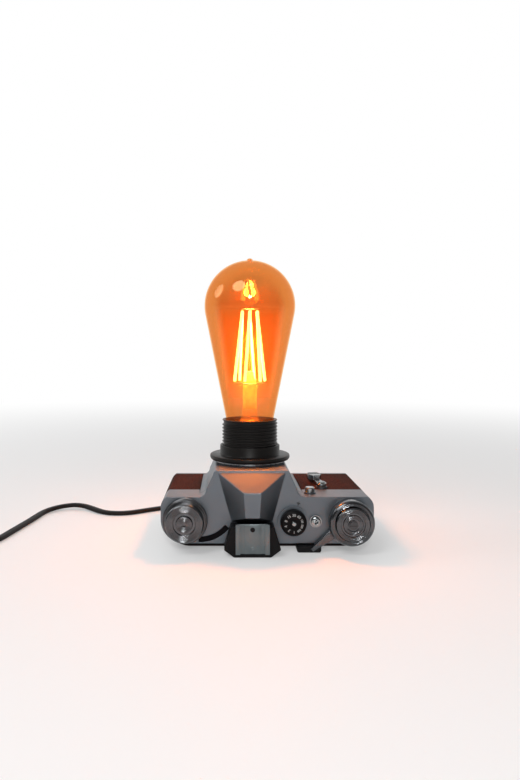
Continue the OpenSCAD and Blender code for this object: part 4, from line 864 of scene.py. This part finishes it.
def shoe_screw(name, z):
    """A low screw head with a slot, on the floor of the shoe."""
    head = lathe(name, [(0, 0), (1.5, 0), (1.5, 0.06), (1.3, 0.16), (0.9, 0.2), (0, 0.2)], 32)
    edit(head)
    for side in (0.2, -0.2):
        bpy.ops.mesh.select_all(action="SELECT")
        bpy.ops.mesh.bisect(plane_co=(0, side * MM, 0), plane_no=(0, 1, 0))
    done()
    pick(head, lambda x, y, z: abs(y) < 0.19 and z > 0.1)
    bpy.ops.transform.resize(value=(1, 1, 0), center_override=(0, 0, 0.05 * MM))
    done()
    turned = Matrix.Rotation(math.radians(90), 4, "X") @ Matrix.Rotation(math.radians(35), 4, "Z")
    place = Vector((LENS_X, SHOE_Y - SHEET - SPRING_T, z)) * MM
    head.data.transform(Matrix.Translation(place) @ turned)
    smooth(head, 30)
    return head


upper_screw = shoe_screw("upper_shoe_screw", 17.6)
finished(upper_screw, "steel", "camera", "shoe_screws", finish=finishes["black_paint"])
finished(shoe_screw("lower_shoe_screw", 5.5), "steel", "camera", finish=DARKER_CHROME)


# Dials on the top plate

ring = lathe("film_speed_band", [
    (6.05, 0.3), (14.1, 0.3), (14.5, 0.7), (14.5, 3.9), (14.35, 4.4), (13.9, 4.7), (13.4, 4.7),
    (13.25, 4.8), (13.2, 5.2), (13.0, 5.3), (6.05, 5.3), (6.05, 0.3)], 160)
knurl(ring, count=80, depth=0.3, r_rim=14.5, low=0.5, high=4.0)
smooth(on_top(ring, -DIAL_X, DIAL_Z), 30)
finished(ring, "turned_aluminium", "film_speed_ring", "film_speed_ring", finish=DARK_REFLECTION_METAL)

knob_profile = [
    (2.45, 5.9), (11.9, 5.9), (12.4, 6.4), (12.4, 9.8), (12.25, 10.5), (11.9, 11.0), (11.4, 11.3)]
knob_profile += ripples(11.2, 7.5, 11.4)
knob_profile += [
    (7.2, 11.3), (7.0, 11.0), (6.95, 10.5), (5.4, 10.5), (5.32, 11.0), (5.2, 11.7), (4.9, 12.0)]
knob_profile += ripples(4.7, 1.6, 12.05, 0.52)
knob_profile += [(1.3, 11.85), (0.5, 11.8), (0, 11.8)]
knob = lathe("rewind_crown", knob_profile, 192)
knurl(knob, count=96, depth=0.25, r_rim=12.4, low=6.2, high=10.0)
smooth(on_top(knob, -DIAL_X, DIAL_Z), 50)
finished(knob, "turned_aluminium", "rewind_knob", "rewind_knob")

hub_profile = [
    (3.05, 0.3), (13.5, 0.3), (13.5, 4.4), (14.1, 4.5), (14.5, 4.9), (14.5, 8.6), (14.4, 9.5), (14.1, 10.3),
    (13.6, 10.9), (13.0, 11.25)]
hub_profile += ripples(12.8, 11.2, 11.4, 0.55)
hub_profile += [(11.0, 11.2), (10.9, 10.8), (10.9, 8.4), (3.05, 8.4), (3.05, 0.3)]
hub = lathe("wind_hub", hub_profile, 180)
knurl(hub, count=90, depth=0.25, r_rim=14.5, low=4.8, high=8.8)
on_top(hub, DIAL_X, DIAL_Z)
ARM_START, ARM_L, ARM_W, ARM_T, ARM_Z, ARM_TURN = 10.5, 20.5, 7, 3, 2.5, 217
END_WIDTH = 0.37  # of the width at the hub
arm = block("wind_arm", (ARM_L, ARM_W, ARM_T), (ARM_START + ARM_L / 2, 0, ARM_Z))
pick(arm, lambda x, y, z: x > ARM_START + ARM_L / 2)
bpy.ops.transform.resize(value=(1, END_WIDTH, 1), center_override=(0, 0, 0))
done()
apply(arm, "BEVEL", width=0.5 * MM, segments=3)
on_top(arm, DIAL_X, DIAL_Z, ARM_TURN)
hub = join(hub, arm)
smooth(hub, 50)
finished(hub, "turned_aluminium", "wind_lever", "wind_lever")

disc_profile = [(3.05, 8.7), (10.6, 8.7), (10.6, 12.5), (10.4, 13.0), (10.0, 13.3)]
disc_profile += ripples(9.8, 7.8, 13.4)
disc_profile += [(7.5, 13.2), (7.4, 12.7), (6.4, 12.7), (6.25, 13.2)]
disc_profile += ripples(6.0, 4.2, 13.4, 0.6)
disc_profile += [(3.9, 13.2), (3.5, 13.15), (3.05, 13.15), (3.05, 8.7)]
disc = lathe("counter_face", disc_profile, 128)
smooth(on_top(disc, DIAL_X, DIAL_Z), 50)
finished(disc, "turned_aluminium", "counter_disc", "counter_disc")

dial = lathe("speed_dial_body", [
    (0, -13.4), (2, -13.4), (2, 1.5), (8.0, 1.5), (8.4, 1.9), (8.4, 5.5), (8.1, 5.9), (7.5, 6.35),
    (7.1, 6.6), (6.6, 6.7), (2.8, 6.7), (2.5, 6.65), (2.4, 6.9), (2.2, 7.15), (1.8, 7.2), (0, 7.2)], 144)
knurl(dial, count=72, depth=0.3, r_rim=8.4, low=1.7, high=5.7)
smooth(on_top(dial, SPEED_X, SPEED_Z), 30)
finished(dial, "dial_black", "speed_dial", "speed_dial")

screw = lathe("speed_dial_screw", [
    (0, 7.2), (1.35, 7.2), (1.35, 7.45), (1.2, 7.6), (0.8, 7.68), (0, 7.7)], 40)
smooth(on_top(screw, SPEED_X, SPEED_Z), 40)
finished(screw, "bright_chrome", "speed_dial")

SPEEDS = ("30", "60", "125", "250", "500", "1", "2", "4", "8", "15")
NUMBER_R, NUMBER_Z, NUMBER_SIZE, LONG_NUMBER_SIZE, MARK_T = 5.3, 6.72, 2.4, 1.7, 0.06
numbers = []
for i, text in enumerate(SPEEDS):
    mark = lettering(text, LONG_NUMBER_SIZE if len(text) > 2 else NUMBER_SIZE, MARK_T)
    round_dial = Matrix.Rotation(-2 * math.pi * i / len(SPEEDS), 4, "Z")
    mark.data.transform(round_dial @ Matrix.Translation((0, NUMBER_R * MM, NUMBER_Z * MM)))
    numbers.append(mark)
numbers = join(*numbers)
numbers.name = "speed_numbers"
on_top(numbers, SPEED_X, SPEED_Z)
finished(numbers, "dial_black", "speed_dial", finish=WHITE)

INDEX_TURN, INDEX_GAP = 17.4, 0.004
index = slab("speed_index", [
    (-0.3, 10.5), (0.3, 10.5), (0.35, 11.5), (1.2, 11.7), (1.2, 12.3), (0.3, 12.4), (0, 13.4), (-0.3, 12.4),
    (-1.2, 12.3), (-1.2, 11.7), (-0.35, 11.5)], -MARK_T)
index.data.transform(Matrix.Rotation(math.radians(INDEX_TURN), 4, "Y"))
stand(index, SPEED_X, Y_TOP - INDEX_GAP, SPEED_Z)
finished(index, "satin_chrome", "camera", finish=BLACK)

button = lathe("release_cap", [
    (0, -14.4), (1.4, -14.4), (1.4, -3), (3.1, -3), (3.1, 3.4), (2.95, 3.75), (2.6, 3.95), (1.5, 3.95),
    (1.3, 3.8), (0.9, 3.1), (0.6, 2.8), (0, 2.8)], 48)
smooth(on_top(button, RELEASE_X, RELEASE_Z), 30)
finished(button, "bright_chrome", "release_button", "release_button")


# Switch, plug, tie and relief on the cord

def rounded_outline(length, width, r, steps=6):
    """A rectangle with round corners about the middle, in millimetres."""
    out = []
    for k, (sx, sy) in enumerate(((1, 1), (-1, 1), (-1, -1), (1, -1))):
        for i in range(steps + 1):
            a = math.radians(90 * k + 90 * i / steps)
            x = sx * (length / 2 - r) + r * math.cos(a)
            out.append((x, sy * (width / 2 - r) + r * math.sin(a)))
    return out


def lay_flat(obj, x, y, z):
    """Lays a slab that was drawn out along Y on the table, its first face down."""
    obj.data.transform(Matrix.Rotation(math.radians(90), 4, "X"))
    return stand(obj, x, y, z)


def cut_out(obj, cutter):
    """Takes one piece out of another."""
    apply(obj, "BOOLEAN", operation="DIFFERENCE", object=cutter, solver="EXACT")
    bpy.data.objects.remove(cutter)


SWITCH_L, SWITCH_W, SWITCH_H, SWITCH_CORNER = 60, 26, 16, 6
SEAM, SEAM_DEPTH, WAIST_H = 0.5, 0.5, 2
LID_LENGTH, LID_WIDTH = 0.967, 0.923  # of the lid's foot, at its top
ROCKER_L, ROCKER_W, WELL_Z, WELL_H = 17, 12, 5, 6
half_h = SWITCH_H / 2
waist_l, waist_w = SWITCH_L - 2 * SEAM_DEPTH, SWITCH_W - 2 * SEAM_DEPTH
plan = rounded_outline(SWITCH_L, SWITCH_W, SWITCH_CORNER)
waist_plan = rounded_outline(waist_l, waist_w, SWITCH_CORNER - SEAM_DEPTH)
lower = rounded_edges(slab("switch_shell", plan, half_h - SEAM / 2), 0.4)
waist = slab("switch_waist", waist_plan, WAIST_H)
upper = slab("switch_lid", plan, half_h - SEAM / 2)
pick(upper, lambda x, y, z: y > 1)
bpy.ops.transform.resize(value=(LID_LENGTH, 1, LID_WIDTH), center_override=(0, 0, 0))
done()
rounded_edges(upper, 1.1, 4)
lay_flat(lower, SWITCH_X, SWITCH_Y, 0)
lay_flat(waist, SWITCH_X, SWITCH_Y, half_h - WAIST_H / 2)
lay_flat(upper, SWITCH_X, SWITCH_Y, half_h + SEAM / 2)
opening_h = 2 * (SWITCH_H - WELL_Z)
cut_out(upper, block("rocker_opening", (ROCKER_L, ROCKER_W, opening_h), (SWITCH_X, SWITCH_Y, SWITCH_H)))
cut_out(waist, block("rocker_well", (ROCKER_L, ROCKER_W, WELL_H), (SWITCH_X, SWITCH_Y, half_h)))
shell = join(lower, waist, upper)
smooth(shell, 32)
finished(shell, "black_plastic", "camera", "inline_switch")
rocker = softened("switch_rocker", "switch_rocker", 0.4, 3, 30)

PLUG_L, PLUG_T = 36, 13.7
GROOVES, GROOVE_W, GROOVE_H, GROOVE_STEP = 4, 1.3, 1.2, 3.4
half_plan = [
    (0, 6), (4, 6.6), (9, 8.8), (14, 11.6), (19, 13.6), (25, 15.4), (30, 16.4), (33, 16.2), (35, 15.2),
    (PLUG_L, 13.4)]
plug = slab("plug_body", half_plan + [(x, -y) for x, y in reversed(half_plan)], PLUG_T)
rounded_edges(plug, 2.2, 5, 60)
lay_flat(plug, PLUG_X, PLUG_Y, 0)
for k in range(GROOVES):
    groove_x = PLUG_X + 11.5 + GROOVE_STEP * k
    cut_out(plug, block("grip_groove", (GROOVE_W, 15 + 2.6 * k, GROOVE_H), (groove_x, PLUG_Y, PLUG_T)))
smooth(plug, 35)
finished(plug, "black_plastic", "camera", "plug")

PIN_GAP = 18.6
pin_profile = [(0, -1), (1.75, -1), (1.75, 10), (1.95, 10.3), (1.95, 17.4), (1.6, 18.5), (0.9, 19), (0, 19)]
sleeve_profile = [(1.8, -1), (2, -1), (2, 9.6), (1.9, 10), (1.8, 10), (1.8, -1)]


def pair(name, profile):
    """Two turned pieces that stand out of the plug's face."""
    both = []
    for side in (-1, 1):
        one = lathe(name, profile, 28)
        one.data.transform(Matrix.Rotation(math.radians(90), 4, "Y"))
        both.append(stand(one, PLUG_X + PLUG_L, PLUG_Y + side * PIN_GAP / 2, PLUG_T / 2))
    both = join(*both)
    smooth(both, 40)
    return both


pins = finished(pair("plug_pins", pin_profile), "steel", "camera")
sleeves = finished(pair("pin_sleeves", sleeve_profile), "black_plastic", "camera")


def boot(name, route, foot, end, ribs):
    """A tapered sleeve on the cord with soft ribs; foot and end give its half width and half height."""
    def ring_at(share):
        swell = 1 + 0.07 * math.cos(2 * math.pi * ribs * share) * (1 - share)
        w, h = ((a + (b - a) * share) * swell for a, b in zip(foot, end))
        turns = [math.radians(degrees) for degrees in range(0, 360, 15)]
        return [(w * math.cos(a), h * math.sin(a)) for a in turns]

    return swept(name, route, ring_at)


def stretch(points, length):
    """The first part of a route, up to a length in millimetres."""
    out = [points[0]]
    gone = 0
    for here, there in zip(points, points[1:]):
        gone += (there[0] - here[0]).length / MM
        if gone > length:
            break
        out.append(there)
    return out


EXIT_BOOT_L, PLUG_BOOT_L, BOOT_RIBS = 23, 20.5, 5
fine_route = eased(route, 6)
exit_boot = boot("cord_relief", stretch(fine_route, EXIT_BOOT_L), (5.2, 4.8), (3.5, 2.3), BOOT_RIBS)
finished(exit_boot, "rubber", "camera")
plug_boot = boot("plug_relief", stretch(fine_route[::-1], PLUG_BOOT_L), (4.6, 4.6), (3.3, 2.2), BOOT_RIBS)
finished(plug_boot, "black_plastic", "camera")

# Strap round the turns of the coil, its tail buttoned on top
TIE_LEFT, TIE_RIGHT, TIE_TOP, TIE_CORNER = -357.7, -339.5, 13.7, 2.5
TIE_W, TIE_T = 6, 0.6
strap = wire("coil_tie", [
    (x + (TIE_LEFT + TIE_RIGHT) / 2, z + TIE_TOP / 2)
    for x, z in rounded_outline(TIE_RIGHT - TIE_LEFT, TIE_TOP, TIE_CORNER)])
edit(strap)
bpy.ops.mesh.edge_face_add()
bpy.ops.mesh.delete(type="ONLY_FACE")
bpy.ops.mesh.select_all(action="SELECT")
bpy.ops.mesh.extrude_edges_move(TRANSFORM_OT_translate={"value": (0, TIE_W * MM, 0)})
bpy.ops.mesh.select_all(action="SELECT")
bpy.ops.mesh.normals_make_consistent(inside=False)
done()
apply(strap, "SOLIDIFY", thickness=TIE_T * MM, offset=-1)
rounded_edges(strap, 0.15, 2)
tail = slab("tie_tail", [(-355, 13.65), (-343, 13.65), (-342.2, 13.9), (-343, 14.25), (-355, 14.25)], TIE_W)
rounded_edges(tail, 0.12, 2)
strap = join(strap, tail)
stand(strap, 0, COIL_Y - TIE_W / 2, 0)
smooth(strap, 40)
finished(strap, "rubber", "camera")

way = [spot for spot, _ in route]
cord_length = sum((b - a).length for a, b in zip(way, way[1:]))


# Stage and light

FLOOR_LIT = 0.3  # share of plain white in the floor near the lamp; it is all white far off


def set_stage():
    """A white floor that fades into the background and keeps the shadow."""
    bpy.ops.object.select_all(action="DESELECT")
    bpy.ops.mesh.primitive_plane_add(size=12, location=(0, 0, 0))
    floor = bpy.context.object
    floor.name = "floor"
    paper = Finish("floor_paper", Roughness=0.6)
    across, along, _ = paper.axes()
    spot = paper.node("ShaderNodeCombineXYZ", inputs={0: across, 1: along})
    far = paper.node("ShaderNodeVectorMath", {"operation": "LENGTH"}, {0: spot}, output="Value")
    paper.set(Base_Color=paper.tone(paper.noise(3), (0.8, 0.8, 0.8), (0.83, 0.83, 0.83)))
    white = paper.node("ShaderNodeEmission", inputs={"Color": (1, 1, 1, 1), "Strength": 1.0})
    share = far.between(0.2, 1.3) * (1 - FLOOR_LIT) + FLOOR_LIT
    body = Value(paper, paper.shader.outputs[0])
    blend = paper.node("ShaderNodeMixShader", inputs={0: share, 1: body, 2: white})
    paper.tree.links.new(blend.socket, paper.output.inputs["Surface"])
    floor.data.materials.append(paper.material)


AIM = Vector((0, 0, 0.05))
DIM, PALE = 0.17, 0.85  # light from the room in front, and from the background


def softbox(name, at, size, power):
    """A round lamp that points at the camera body."""
    data = bpy.data.lights.new(name, "AREA")
    data.shape = "DISK"
    data.size = size
    data.energy = power
    lamp = bpy.data.objects.new(name, data)
    lamp.location = at
    lamp.rotation_euler = (AIM - Vector(at)).to_track_quat("-Z", "Y").to_euler()
    scene.collection.objects.link(lamp)


def set_light():
    """A white background with a dim room in front of it, three soft lamps and the bulb's own light."""
    world = bpy.data.worlds.new("studio")
    scene.world = world
    world.use_nodes = True
    sky = Nodes(world.node_tree)
    place = sky.node("ShaderNodeTexCoord", output="Generated")
    behind = sky.node("ShaderNodeSeparateXYZ", inputs={"Vector": place}, output="Y").between(-0.3, 0.8)
    camera, glossy, passing = (
        sky.node("ShaderNodeLightPath", output=ray)
        for ray in ("Is Camera Ray", "Is Glossy Ray", "Is Transmission Ray"))
    white = camera.most(passing).most(glossy * behind)
    background = world.node_tree.nodes["Background"]
    background.inputs["Color"].default_value = (1, 1, 1, 1)
    sky.put(background.inputs["Strength"], (DIM + behind * (PALE - DIM)).most(white))
    softbox("key", at=(-0.7, -0.9, 1.3), size=0.8, power=9)
    softbox("side", at=(-1.3, 0.15, 0.8), size=0.6, power=4)
    softbox("front", at=(-0.03, -0.78, 0.42), size=0.1, power=2.3)
    glow = bpy.data.lights.new("bulb_light", "POINT")
    glow.energy = 0.64
    glow.color = (1.0, 0.38, 0.09)
    glow.shadow_soft_size = 0.006
    for z in (0.114, 0.131, 0.148):
        lamp = bpy.data.objects.new("bulb_light", glow)
        lamp.location = (LENS_X * MM, LENS_Y * MM, z)
        lamp.visible_camera = False
        lamp.visible_transmission = False
        scene.collection.objects.link(lamp)


set_stage()
set_light()
scene.view_settings.view_transform = "Standard"
